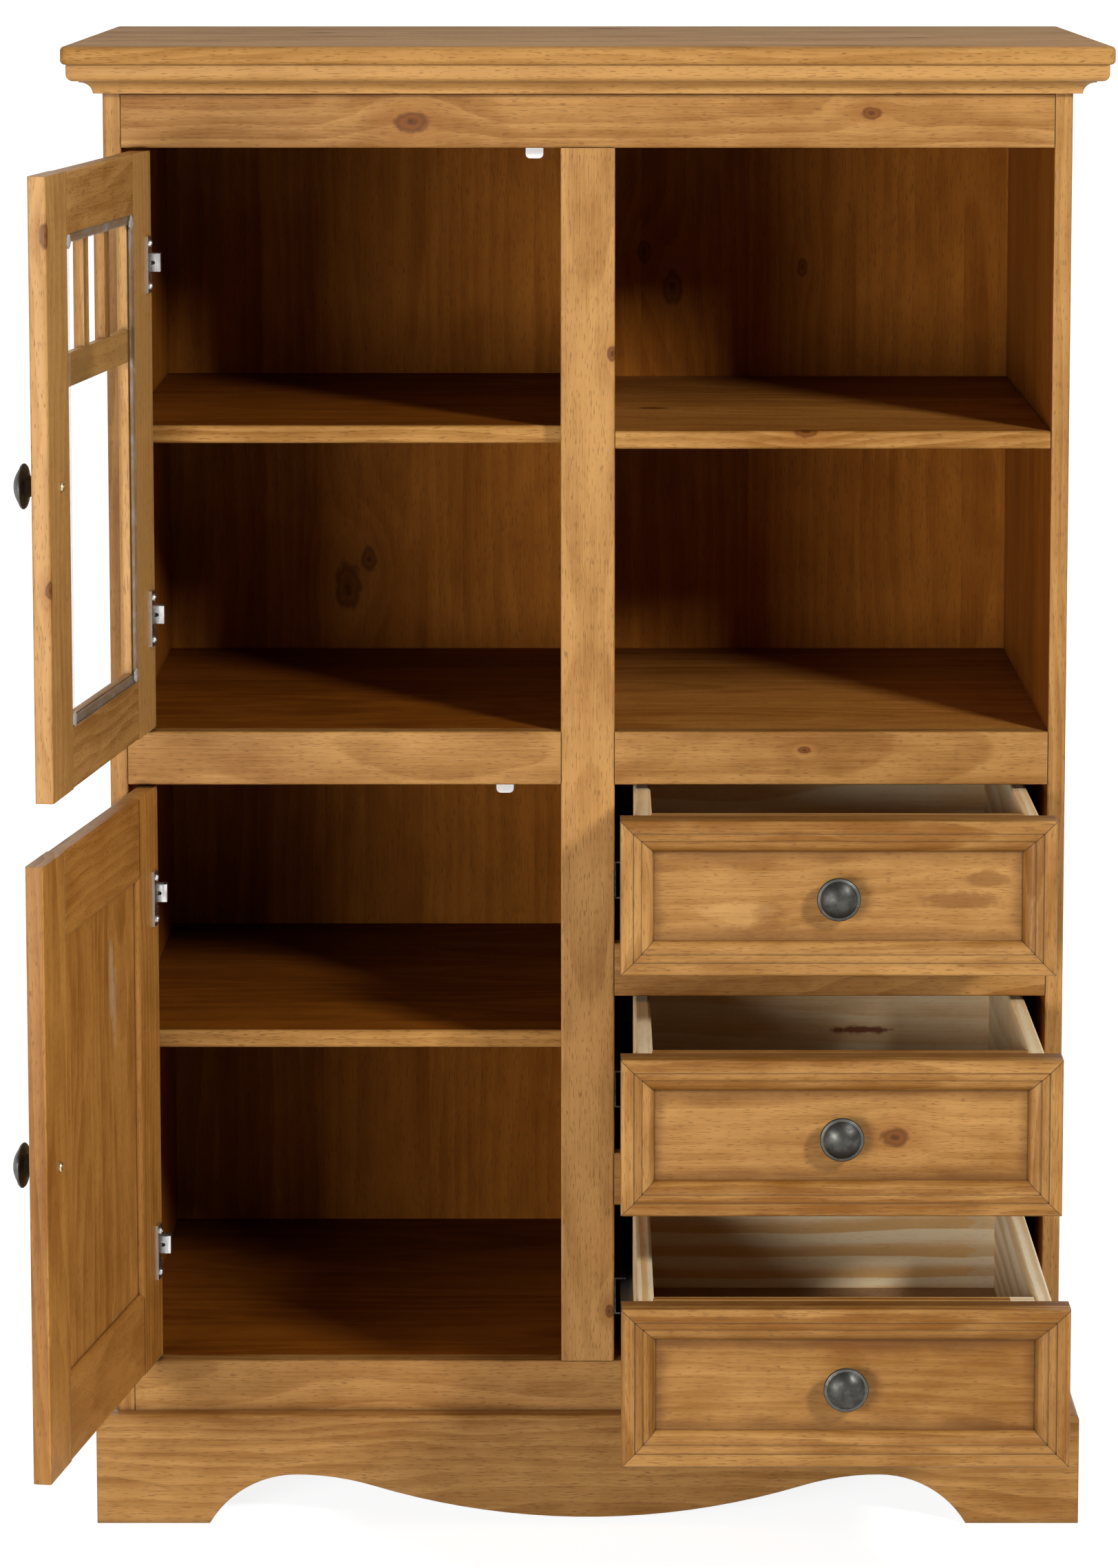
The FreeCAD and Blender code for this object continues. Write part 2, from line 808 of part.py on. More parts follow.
def door_frame(name, section, stile_width, rail_width, low, high, overlap, hinge_levels):
    """Stiles full height and rails scribed between them. The hinge stile is notched for the hinges."""
    stile_points = section(stile_width)
    stiles = []
    for side, start, sign in (("hinge", edge, 1), ("free", free, -1)):
        points = across(stile_points, start, sign)
        stiles.append(place(profiled(f"{name}_{side}_stile", "XY_Plane", points, high - low), z=low))
    notch_size = {"Length": dim.notch_width * 2, "Width": thick * 2, "Height": notch_half * 2}
    for count, level in enumerate(hinge_levels):
        at = (edge - dim.notch_width, face + dim.notch_skin, level - low - notch_half)
        shaped(stiles[0], "SubtractiveBox", f"{name}_hinge_notch_{count}", notch_size, *at)
    rails = []
    start = edge + stile_width - overlap
    end = free - stile_width + overlap
    for side, level, sign in (("top", high, -1), ("bottom", low, 1)):
        points = upright(section(rail_width), level, sign)
        plain = place(profiled(f"{name}_{side}_rail", "YZ_Plane", points, end - start), x=start)
        rails.append(fitted(plain, stiles))
    return stiles, rails


def bar_section(half_width):
    """A glazing bar, rounded on both front edges."""
    return [
        (-half_width + ovolo, 0.0),
        (half_width - ovolo, 0.0, ovolo),
        (half_width, ovolo),
        (half_width, dim.glass_seat),
        (-half_width, dim.glass_seat),
        (-half_width, ovolo, ovolo),
    ]


# Glazed door

upper_low = mid_top + dim.door_gap
upper_high = head_low - dim.door_gap
upper_hinges = (upper_low + dim.hinge_inset, upper_high - dim.hinge_inset)
glazed_stiles, glazed_rails = door_frame(
    "glazed",
    glazed_section,
    dim.door_stile,
    dim.glazed_rail,
    upper_low,
    upper_high,
    0.0,
    upper_hinges,
)
hung("upper_door_stiles", glazed_stiles, dim.upper_door_open)
hung("upper_door_rails", glazed_rails, dim.upper_door_open)

sight_left = edge + dim.door_stile + dim.glass_lip
sight_right = free - dim.door_stile - dim.glass_lip
sight_top = upper_high - dim.glazed_rail - dim.glass_lip
crossbar_level = upper_high - dim.crossbar_drop
crossbar_half = dim.crossbar_height / 2
crossbar_plain = profiled(
    "crossbar_stock",
    "YZ_Plane",
    upright(bar_section(crossbar_half), crossbar_level, 1),
    sight_right - sight_left + ovolo * 2,
)
place(crossbar_plain, x=sight_left - ovolo)
crossbar = fitted(crossbar_plain, glazed_stiles)
hung("upper_door_crossbar", [crossbar], dim.upper_door_open)
muntins = []
muntin_low = crossbar_level + crossbar_half - ovolo
for count in (1, 2):
    middle = sight_left + (sight_right - sight_left) * count / 3
    muntin = profiled(
        f"muntin_stock_{count}",
        "XY_Plane",
        across(bar_section(dim.muntin_width / 2), middle, 1),
        sight_top + ovolo - muntin_low,
    )
    place(muntin, z=muntin_low)
    muntins.append(fitted(muntin, [crossbar, glazed_rails[0]]))
hung("upper_door_muntins", muntins, dim.upper_door_open)

rebate_left = edge + dim.door_stile
rebate_right = free - dim.door_stile
rebate_low = upper_low + dim.glazed_rail
rebate_high = upper_high - dim.glazed_rail
glass_front = face + dim.glass_seat
glass_back = glass_front + dim.glass_thickness
slack = dim.glass_edge_gap
pane = board(
    "pane",
    (rebate_left + slack, rebate_right - slack),
    (glass_front, glass_back),
    (rebate_low + slack, rebate_high - slack),
)
hung("upper_door_glass", [pane], dim.upper_door_open)
strip_depth = (glass_back, door_back)
strip = dim.glass_lip
rebate_tall = (rebate_low, rebate_high)
between_strips = (rebate_left + strip, rebate_right - strip)
strips = [
    board("strip_left", (rebate_left, rebate_left + strip), strip_depth, rebate_tall),
    board("strip_right", (rebate_right - strip, rebate_right), strip_depth, rebate_tall),
    board("strip_low", between_strips, strip_depth, (rebate_low, rebate_low + strip)),
    board("strip_high", between_strips, strip_depth, (rebate_high - strip, rebate_high)),
]
hung("upper_door_glazing_strips", strips, dim.upper_door_open)
upper_knob = knob("glazed_knob", free - dim.knob_edge, face, (upper_low + upper_high) / 2)
hung("upper_door_knob", [upper_knob], dim.upper_door_open)
upper_leaves = []
for count, level in enumerate(upper_hinges):
    upper_leaves += hinge_leaf(f"glazed_leaf_{count}", level)
hung("upper_door_hinge_leaves", upper_leaves, dim.upper_door_open)

# Panelled door

lower_low = deck_top + dim.door_gap
lower_high = mid_low - dim.door_gap
lower_hinges = (lower_low + dim.hinge_inset, lower_high - dim.hinge_inset)
panelled_stiles, panelled_rails = door_frame(
    "panelled",
    panelled_section,
    dim.door_stile,
    dim.panelled_rail,
    lower_low,
    lower_high,
    dim.panel_groove,
    lower_hinges,
)
hung("lower_door_stiles", panelled_stiles, dim.lower_door_open)
hung("lower_door_rails", panelled_rails, dim.lower_door_open)
field = dim.panel_groove
panel_front = face + (thick - dim.panel_thickness) / 2
door_panel = board(
    "door_panel",
    (edge + dim.door_stile - field, free - dim.door_stile + field),
    (panel_front, panel_front + dim.panel_thickness),
    (lower_low + dim.panelled_rail - field, lower_high - dim.panelled_rail + field),
)
hung("lower_door_panel", [door_panel], dim.lower_door_open)
lower_knob = knob("panelled_knob", free - dim.knob_edge, face, (lower_low + lower_high) / 2)
hung("lower_door_knob", [lower_knob], dim.lower_door_open)
lower_leaves = []
for count, level in enumerate(lower_hinges):
    lower_leaves += hinge_leaf(f"panelled_leaf_{count}", level)
hung("lower_door_hinge_leaves", lower_leaves, dim.lower_door_open)

# Hinge arms on the left side panel, cranked round the door's edge


def hinge_arm(name, level):
    leaf = dim.arm_sheet / 2
    points = [
        (-leaf, dim.hinge_pin_radius + dim.cheek_gap),
        (leaf, dim.hinge_pin_radius + dim.cheek_gap),
        (leaf, dim.arm_head - dim.arm_sheet),
        (dim.arm_reach, dim.arm_head - dim.arm_sheet),
        (dim.arm_reach, dim.arm_crank),
        (-hang + dim.arm_sheet, dim.arm_crank),
        (-hang + dim.arm_sheet, dim.arm_foot),
        (-hang, dim.arm_foot),
        (-hang, dim.arm_crank - dim.arm_sheet),
        (dim.arm_reach - dim.arm_sheet, dim.arm_crank - dim.arm_sheet),
        (dim.arm_reach - dim.arm_sheet, dim.arm_head),
        (-leaf, dim.arm_head),
    ]
    body = profiled(name, "XY_Plane", points, dim.arm_height)
    place(body, pivot_x, pivot_y, level - arm_half)
    knuckle = {"Radius": dim.knuckle_radius, "Height": dim.arm_height}
    shaped(body, "AdditiveCylinder", f"{name}_knuckle", knuckle, 0, 0, 0)
    bore = {"Radius": dim.hinge_pin_radius + dim.pin_bore_clearance, "Height": dim.arm_height}
    shaped(body, "SubtractiveCylinder", f"{name}_bore", bore, 0, 0, 0)
    return body


arm_levels = upper_hinges + lower_hinges
group("hinge_arms", [hinge_arm(f"hinge_arm_{count}", level) for count, level in enumerate(arm_levels)])

# Door catches behind the top rail and the left mid rail


def door_catch(name, middle, underside):
    left = middle - dim.catch_width / 2
    right = middle + dim.catch_width / 2
    low = underside - dim.catch_hang
    high = underside + dim.catch_hold
    turn = dim.catch_round
    points = [
        (left, low + turn, turn),
        (left + turn, low),
        (right - turn, low, turn),
        (right, low + turn),
        (right, high),
        (left, high),
    ]
    return place(profiled(name, "XZ_Plane", points, dim.catch_depth), y=behind_rail + dim.catch_depth)


upper_catch = door_catch("catch_upper", -stile_half - dim.upper_catch_inset, head_low)
lower_catch = door_catch("catch_lower", -stile_half - dim.lower_catch_inset, mid_low)
group("door_catches", [upper_catch, lower_catch])

# Drawers, drawn shut and then drawn out

box_left = stile_half + dim.runner_space
box_right = inner - dim.runner_space
front_left = stile_half + dim.drawer_gap
front_right = inner - dim.drawer_gap
panel_depth = front + dim.moulding_depth
front_back = panel_depth + dim.drawer_panel
box_rear = front_back + dim.box_length
moulding_outline = [
    (0.0, dim.moulding_depth),
    (0.0, dim.arris, dim.arris),
    (dim.arris, 0.0),
    (dim.band_width, 0.0),
    (dim.band_width, dim.band_step, dim.bead_radius),
    (dim.bead_width, dim.bead_depth),
    (dim.bead_width, dim.slope_depth, dim.slope_radius),
    (dim.moulding_width, dim.moulding_depth - dim.slope_edge),
    (dim.moulding_width, dim.moulding_depth),
]


def lying_strip(name, level, sign):
    """Top or bottom strip of a drawer front, mitred at both ends."""
    points = [(front + point[1], level + sign * point[0], *point[2:]) for point in moulding_outline]
    length = front_right - front_left
    width = dim.moulding_width
    body = place(profiled(name, "YZ_Plane", points, length), x=front_left)
    inside = level + sign * width
    wastes = [
        [(0.0, level), (0.0, inside), (width, inside)],
        [(length, level), (length, inside), (length - width, inside)],
    ]
    return trimmed(body, "XZ_Plane", wastes)


def standing_strip(name, start, sign, low, high):
    """Left or right strip of a drawer front, mitred at both ends."""
    points = [(start + sign * point[0], front + point[1], *point[2:]) for point in moulding_outline]
    width = dim.moulding_width
    body = place(profiled(name, "XY_Plane", points, high - low), z=low)
    inside = start + sign * width
    wastes = [
        [(start, 0.0), (inside, 0.0), (inside, width)],
        [(start, high - low), (inside, high - low), (inside, high - low - width)],
    ]
    return trimmed(body, "XZ_Plane", wastes)


def box_side(name, start, sign, low, high, groove_low):
    """Side of a drawer box, grooved for the bottom and rounded along the top."""
    side = dim.box_side
    turn = dim.box_round
    groove = side - dim.bottom_groove
    points = [
        (0.0, low),
        (side, low),
        (side, groove_low),
        (groove, groove_low),
        (groove, groove_low + dim.drawer_bottom),
        (side, groove_low + dim.drawer_bottom),
        (side, high - turn, turn),
        (side - turn, high),
        (turn, high, turn),
        (0.0, high - turn),
    ]
    points = [(start + sign * point[0], *point[1:]) for point in points]
    return place(profiled(name, "XZ_Plane", points, dim.box_length), y=box_rear)


def drawn_out(name, items, pull):
    return place(group(name, items), y=-pull)


def runner(name, start, sign, outer_half, flange, level, length, rear):
    """A steel channel on its side, with its web on the plane start."""
    sheet_thickness = dim.runner_sheet
    inner_half = outer_half - sheet_thickness
    points = [
        (0.0, -outer_half),
        (flange, -outer_half),
        (flange, -inner_half),
        (sheet_thickness, -inner_half),
        (sheet_thickness, inner_half),
        (flange, inner_half),
        (flange, outer_half),
        (0.0, outer_half),
    ]
    points = [(start + sign * point[0], point[1]) for point in points]
    return place(profiled(name, "XZ_Plane", points, length), y=rear, z=level)


battens = []
channels = []
runner_outer = dim.runner_half - dim.runner_sheet - dim.runner_gap
channel_front = front_back + dim.channel_inset
channel_rear = channel_front + dim.box_length


def drawer(name, floor, pull):
    low = floor + dim.drawer_gap
    high = floor + dim.drawer_opening - dim.drawer_gap
    panel = board(f"{name}_face", (front_left, front_right), (panel_depth, front_back), (low, high))
    drawn_out(f"{name}_panel", [panel], pull)
    strips = [
        lying_strip(f"{name}_strip_top", high, -1),
        lying_strip(f"{name}_strip_bottom", low, 1),
        standing_strip(f"{name}_strip_left", front_left, 1, low, high),
        standing_strip(f"{name}_strip_right", front_right, -1, low, high),
    ]
    drawn_out(f"{name}_mouldings", strips, pull)
    box_low = floor + dim.box_clearance
    box_high = high - dim.box_drop
    groove_low = floor + dim.bottom_rise
    bottom_top = groove_low + dim.drawer_bottom
    inside = (box_left + dim.box_side, box_right - dim.box_side)
    box_front = (front_back, front_back + dim.box_front)
    box_back = (box_rear - dim.box_side, box_rear)
    pieces = [
        box_side(f"{name}_side_left", box_left, 1, box_low, box_high, groove_low),
        box_side(f"{name}_side_right", box_right, -1, box_low, box_high, groove_low),
        board(f"{name}_inner_front", inside, box_front, (box_low, box_high)),
        board(f"{name}_back", inside, box_back, (bottom_top, box_high)),
    ]
    drawn_out(f"{name}_box", pieces, pull)
    bottom_wide = (inside[0] - dim.bottom_groove, inside[1] + dim.bottom_groove)
    bottom = board(f"{name}_base", bottom_wide, (box_front[1], box_rear), (groove_low, bottom_top))
    drawn_out(f"{name}_bottom", [bottom], pull)
    turned = knob(f"{name}_turned", (front_left + front_right) / 2, panel_depth, (low + high) / 2)
    drawn_out(f"{name}_knob", [turned], pull)
    level = floor + dim.runner_rise
    rear = front_back + dim.runner_inset + dim.runner_length
    slides = []
    for side, start, sign in (("left", box_left, -1), ("right", box_right, 1)):
        size = (runner_outer, dim.runner_flange, level, dim.runner_length, rear)
        slides.append(runner(f"{name}_slide_{side}", start, sign, *size))
    drawn_out(f"{name}_runners", slides, pull)
    for side, start, sign in (("left", stile_half, 1), ("right", inner, -1)):
        size = (dim.runner_half, dim.channel_flange, level, dim.box_length, channel_rear)
        channels.append(runner(f"{name}_channel_{side}", start, sign, *size))
    batten_tall = (level - dim.batten_height / 2, level + dim.batten_height / 2)
    batten_deep = (behind_rail, channel_rear)
    battens.append(board(f"{name}_batten", (wall_half, stile_half), batten_deep, batten_tall))


drawer("upper_drawer", drawer_floor[0], dim.upper_drawer_out)
drawer("middle_drawer", drawer_floor[1], dim.middle_drawer_out)
drawer("lower_drawer", drawer_floor[2], dim.lower_drawer_out)
group("runner_battens", battens)
group("runner_channels", channels)

# Build, check and write every sub-part

doc.recompute()
for item in doc.Objects:
    if "Invalid" in item.State or "Error" in item.State:
        raise RuntimeError(f"{item.Name} did not build: {item.State}")
os.makedirs("parts", exist_ok=True)
for name, item in nodes.items():
    item.Label = name
    if item.Shape.isNull() or not item.Shape.isValid() or not item.Shape.Solids:
        raise RuntimeError(f"{name} has no sound shape")
    item.Shape.exportStep(os.path.join("parts", f"{name}.step"))
print(len(nodes), "sub-parts written")
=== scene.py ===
import json
import math

import bmesh
import bpy
from mathutils import Matrix, Vector


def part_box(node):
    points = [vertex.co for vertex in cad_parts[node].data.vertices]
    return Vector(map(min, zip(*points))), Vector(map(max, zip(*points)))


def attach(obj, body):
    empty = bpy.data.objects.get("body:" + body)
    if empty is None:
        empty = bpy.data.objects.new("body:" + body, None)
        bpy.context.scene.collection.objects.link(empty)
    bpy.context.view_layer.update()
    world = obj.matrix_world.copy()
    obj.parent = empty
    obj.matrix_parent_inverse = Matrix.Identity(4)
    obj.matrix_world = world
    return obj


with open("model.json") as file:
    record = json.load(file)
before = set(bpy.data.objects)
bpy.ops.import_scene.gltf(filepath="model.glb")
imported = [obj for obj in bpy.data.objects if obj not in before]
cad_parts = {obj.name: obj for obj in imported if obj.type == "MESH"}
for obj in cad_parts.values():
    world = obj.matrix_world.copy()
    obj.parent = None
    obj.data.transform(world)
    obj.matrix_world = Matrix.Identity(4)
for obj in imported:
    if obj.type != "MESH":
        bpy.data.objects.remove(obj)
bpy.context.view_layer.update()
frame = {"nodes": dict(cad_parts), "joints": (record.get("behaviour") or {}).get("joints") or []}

# Plinth: four boards round the foot of the carcass, the front one scalloped and mitred to the sides.
# Sawn from solid pine, rubbed with a honey stain and waxed to a satin.
# Square blocks glued into its corners carry the side panels.

# Sockets of a mix node: its share, first and second value, and its result
COLOUR_MIX = (0, 6, 7)
COLOUR_RESULT = 2
NUMBER_MIX = (0, 2, 3)
NUMBER_RESULT = 0


class Mixer:
    """A node tree and short ways to add nodes to it."""

    def __init__(self, tree):
        self.tree = tree
        tree.nodes.clear()

    def add(self, kind, settings=None, **inputs):
        """One node. Its inputs go by their own names, with an underscore for a space."""
        made = self.tree.nodes.new("ShaderNode" + kind)
        for key, value in (settings or {}).items():
            setattr(made, key, value)
        for key, value in inputs.items():
            self.feed(made, key.replace("_", " "), value)
        return made

    def feed(self, made, socket, value):
        if isinstance(value, bpy.types.NodeSocket):
            self.tree.links.new(value, made.inputs[socket])
        else:
            made.inputs[socket].default_value = value

    def feed_all(self, made, sockets, values):
        for socket, value in zip(sockets, values):
            self.feed(made, socket, value)

    def maths(self, operation, *values):
        made = self.add("Math", {"operation": operation})
        self.feed_all(made, range(len(values)), values)
        return made.outputs[0]

    def vectors(self, operation, *values):
        made = self.add("VectorMath", {"operation": operation})
        self.feed_all(made, range(len(values)), values)
        return made.outputs["Value" if operation in ("LENGTH", "DOT_PRODUCT") else "Vector"]

    def ease(self, value, low, high, start=0.0, end=1.0):
        """Goes smoothly from start to end while the value goes from low to high."""
        limits = {"From_Min": low, "From_Max": high, "To_Min": start, "To_Max": end}
        return self.add("MapRange", {"interpolation_type": "SMOOTHSTEP"}, Value=value, **limits).outputs[0]

    def tint(self, share, first, second):
        """The first colour with a share of the second laid over it."""
        made = self.add("Mix", {"data_type": "RGBA"})
        opaque = [(*value, 1.0) if isinstance(value, tuple) else value for value in (share, first, second)]
        self.feed_all(made, COLOUR_MIX, opaque)
        return made.outputs[COLOUR_RESULT]

    def choose(self, switch, first, second):
        """The first number, or the second where the switch is on."""
        made = self.add("Mix", {"data_type": "FLOAT"})
        self.feed_all(made, NUMBER_MIX, (switch, first, second))
        return made.outputs[NUMBER_RESULT]

    def join(self, x, y, z):
        return self.add("CombineXYZ", X=x, Y=y, Z=z).outputs[0]

    def split(self, vector):
        return dict(zip("XYZ", self.add("SeparateXYZ", Vector=vector).outputs))

    def place(self):
        """Where a point of the piece is when the cabinet stands as drawn."""
        return self.add("TexCoord").outputs["Object"]

    def noise(self, vector, stretch, detail=2.0):
        """Soft noise that is finer along an axis the larger its stretch is."""
        fine = self.vectors("MULTIPLY", vector, stretch)
        return self.add("TexNoise", Vector=fine, Scale=1.0, Detail=detail).outputs[0]


class Finish(Mixer):
    """A material with one shader, to which a finish is added."""

    def __init__(self, name):
        self.material = bpy.data.materials.new(name)
        self.material.use_nodes = True
        super().__init__(self.material.node_tree)
        self.surface = self.add("BsdfPrincipled")
        output = self.add("OutputMaterial")
        self.tree.links.new(self.surface.outputs[0], output.inputs["Surface"])

    def shade(self, colour, **inputs):
        self.feed(self.surface, "Base Color", colour)
        for key, value in inputs.items():
            self.feed(self.surface, key.replace("_", " "), value)

    def relief(self, height, depth, normal=None):
        """Raises the surface by the given depth in metres where the height is 1."""
        bump = self.add("Bump", Height=height, Strength=1.0, Distance=depth)
        if normal is not None:
            self.feed(bump, "Normal", normal)
        self.feed(self.surface, "Normal", bump.outputs[0])

    def rounded(self, radius, samples):
        """Normals that turn softly round the edges, and how squarely the face lies to them."""
        soft = self.add("Bevel", {"samples": samples}, Radius=radius).outputs[0]
        return soft, self.vectors("DOT_PRODUCT", soft, self.add("NewGeometry").outputs["True Normal"])


class Stain:
    """The colours of one stain: early wood, late wood, painted shade in grooves with dark mitre seams, and
    worn edges.
    Then how matt it is and how much it shines with wax."""

    def __init__(self, early, late, groove_shade_and_joint, worn, matt, wax):
        self.early = early
        self.late = late
        self.groove_shade_and_joint = groove_shade_and_joint
        self.worn = worn
        self.matt = matt
        self.wax = wax

    def recoloured(self, early, late):
        """The same stain with other colours in the early and the late wood."""
        return Stain(early, late, self.groove_shade_and_joint, self.worn, self.matt, self.wax)


# Grain: how fine each layer is along, across and through a board, its detail, and its share in the colour
GRAIN = {
    "fibre": ((14.0, 640.0, 640.0), 2.0, 0.55),
    "streak": ((4.5, 125.0, 125.0), 3.0, 0.42),
    "band": ((1.4, 36.0, 36.0), 1.0, 0.4),
    "cloud": ((4.5, 11.0, 11.0), 3.0, 1.0),
    "blotch": ((24.0, 46.0, 46.0), 4.0, 0.65),
}
STAVE_SHARE = 0.3
STAVE_SHIFT = 7.0
MIDDLE_TONE = 0.42
TONE_CENTRE = 0.45
TONE_REACH = 0.62

# Year rings: where the log's heart lies from a stave, how the rings wander, and where their late wood is
HEART_ASIDE = 1.3
HEART_BELOW = 0.012
HEART_SPREAD = 0.05
LEAN_REACH = 0.03
LEAN_FINE = (6.0, 18.0, 1.0)
SWAY_REACH = 0.09
SWAY_FINE = (1.7, 3.7, 1.0)
TAPER = 0.1
WAVE_TURN = math.pi / 10
LATE_RISE = (0.0, 0.8)
LATE_FALL = (1.0, 0.9)

# Resin flecks
FLECK = (0.150, 0.060, 0.016)
FLECK_FINE = (120.0, 1150.0, 1150.0)
FLECK_LEVEL = (0.66, 0.74)

# Surface: painted shade in grooves and gaps, dark mitre seams, wear on edges, sheen and the depth of the
# grain
GROOVE_SHADE_REACH = 0.008
GROOVE_SHADE_LEVEL = (0.86, 0.46)
GROOVE_SHADE_SHARE = 0.75
SEAM_SHARE = 0.75
EDGE_RADIUS = 0.0014
EDGE_LEVEL = (0.985, 0.86)
EDGE_SHARE = 0.38
MATT_SPREAD = 0.2
LATE_MATT = 0.05
LATE_HEIGHT = 0.3
FIBRE_HEIGHT = 0.8
FLECK_HEIGHT = -0.7
GRAIN_DEPTH = 0.00012


def late_wood(finish, run, width, depth, strip, sawn, swell, seed, stave, ring, flame):
    """Where the dark late wood of the year rings comes to the face of each stave."""
    sway = finish.noise(finish.join(run, strip, seed), SWAY_FINE, 1.0)
    lean = finish.noise(finish.join(run, width, seed), LEAN_FINE)
    aside = finish.maths("MULTIPLY_ADD", strip, -stave, width)
    aside = finish.maths("MULTIPLY_ADD", finish.maths("SUBTRACT", sawn["X"], 0.5), stave * HEART_ASIDE, aside)
    aside = finish.maths("MULTIPLY_ADD", lean, LEAN_REACH * flame, aside)
    under = finish.maths("MULTIPLY_ADD", sawn["Y"], HEART_SPREAD, finish.maths("ADD", depth, HEART_BELOW))
    under = finish.maths("MULTIPLY_ADD", sway, SWAY_REACH * flame, finish.maths("ADD", under, swell))
    rings = finish.add(
        "TexWave",
        {"wave_type": "RINGS", "rings_direction": "X", "wave_profile": "SAW"},
        Vector=finish.join(finish.maths("MULTIPLY", run, TAPER), aside, under),
        Scale=WAVE_TURN / ring,
        Distortion=1.2,
        Detail=2.0,
        Detail_Scale=1.5,
    ).outputs["Fac"]
    return finish.maths("MULTIPLY", finish.ease(rings, *LATE_RISE), finish.ease(rings, *LATE_FALL))


def pine(
    node, along, across, seed, stain, turn=0.0, stave=0.09, ring=0.009, figure=0.24, tone=0.0, contrast=1.0,
    flame=1.0, flecked=0.5, knots=(), marks=(), crossed=None, linings=(), plain=False,
):
    """Pine for one node, with the grain along one axis and staves side by side on another.
    Turn is the angle that the piece stands open by. A knot is a place and a radius.
    A mark is a place, its reach on each axis, a colour and how much it covers.
    Crossed is a second grain axis and stave axis, with a switch for the parts of the node that follow them.
    A lining is another stain with a switch for the parts that have it.
    A plain board gets no painted shade in its grooves and no worn edges.
    Knots and marks are drawn by functions in the sections that first have them."""
    low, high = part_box(node)
    spin = Matrix.Rotation(turn, 3, "Z")
    middle = spin @ ((low + high) / 2)
    finish = Finish(f"{node}_pine")
    place = finish.place()
    rest = finish.split(place)
    local = finish.add("Mapping", Vector=place, Location=-middle, Rotation=(0, 0, turn)).outputs[0]
    axis = finish.split(local)
    ways = [along, across, *(set("XYZ") - {along, across})]
    length, width, depth = (axis[way] for way in ways)
    seam = None
    if crossed:
        switch, seam = crossed[2](finish, rest)
        other_ways = [*crossed[:2], *(set("XYZ") - set(crossed[:2]))]
        turned_axes = zip(ways, other_ways)
        length, width, depth = (finish.choose(switch, axis[way], axis[other]) for way, other in turned_axes)

    strip = finish.maths("FLOOR", finish.maths("MULTIPLY_ADD", width, 1 / stave, 0.5))
    lot = finish.add("TexWhiteNoise", {"noise_dimensions": "1D"}, W=finish.maths("ADD", strip, seed))
    shade = lot.outputs["Value"]
    sawn = finish.split(lot.outputs["Color"])
    run = finish.maths("ADD", finish.maths("MULTIPLY_ADD", shade, STAVE_SHIFT, length), seed)
    swell = 0.0
    if knots:
        placed = [(spin @ Vector(spot) - middle, size) for *spot, size in knots]
        width, knot_looks = knotted(finish, local, placed, along, across, width)
        swell = knot_looks["swell"]
    grain = finish.join(run, width, depth)
    late = late_wood(finish, run, width, depth, strip, sawn, swell, seed, stave, ring, flame)
    layers = {name: finish.noise(grain, fine, detail) for name, (fine, detail, share) in GRAIN.items()}
    fleck = finish.ease(finish.noise(grain, FLECK_FINE, 0.0), *FLECK_LEVEL)

    mixed = finish.maths("MULTIPLY_ADD", late, figure, MIDDLE_TONE + tone - figure / 2)
    shares = [(layers[name], share) for name, (fine, detail, share) in GRAIN.items()]
    for part, share in [*shares, (shade, STAVE_SHARE)]:
        mixed = finish.maths("MULTIPLY_ADD", finish.maths("SUBTRACT", part, 0.5), share, mixed)
    mixed = finish.ease(mixed, TONE_CENTRE - TONE_REACH / contrast, TONE_CENTRE + TONE_REACH / contrast)
    early_colour = stain.early
    late_colour = stain.late
    for lining, switch in linings:
        lined = switch(finish, rest)
        early_colour = finish.tint(lined, early_colour, lining.early)
        late_colour = finish.tint(lined, late_colour, lining.late)
    colour = finish.tint(mixed, early_colour, late_colour)
    colour = finish.tint(finish.maths("MULTIPLY", fleck, flecked), colour, FLECK)
    if knots:
        colour = knot_coloured(finish, colour, knot_looks)
    if marks:
        placed = [(spin @ Vector(spot) - middle, *looks) for spot, *looks in marks]
        colour = marked(finish, colour, local, placed, layers["streak"])
    soft = None
    if not plain:
        # Painted shade: the colour darkens where ambient occlusion finds grooves, corners and gaps between
        # parts
        groove = finish.add("AmbientOcclusion", {"samples": 4}, Distance=GROOVE_SHADE_REACH).outputs["AO"]
        colour = finish.tint(finish.ease(groove, *GROOVE_SHADE_LEVEL, 0.0, GROOVE_SHADE_SHARE), colour, stain.groove_shade_and_joint)
        soft, facing = finish.rounded(EDGE_RADIUS, samples=3)
        colour = finish.tint(finish.ease(facing, *EDGE_LEVEL, 0.0, EDGE_SHARE), colour, stain.worn)
    if seam is not None:
        colour = finish.tint(finish.maths("MULTIPLY", seam, SEAM_SHARE), colour, stain.groove_shade_and_joint)
    matt = finish.maths("MULTIPLY_ADD", layers["cloud"], MATT_SPREAD, stain.matt - MATT_SPREAD / 2)
    matt = finish.maths("MULTIPLY_ADD", late, LATE_MATT, matt)
    finish.shade(colour, Roughness=matt, Specular_IOR_Level=stain.wax)
    height = finish.maths("MULTIPLY", layers["fibre"], FIBRE_HEIGHT)
    height = finish.maths("MULTIPLY_ADD", late, LATE_HEIGHT, height)
    finish.relief(finish.maths("MULTIPLY_ADD", fleck, FLECK_HEIGHT, height), GRAIN_DEPTH, soft)
    return finish.material


def dress(node, material):
    for slot in frame["nodes"][node].material_slots:
        slot.material = material


def in_pine(node, *grain, **looks):
    """Dresses a node in pine of its own."""
    dress(node, pine(node, *grain, **looks))


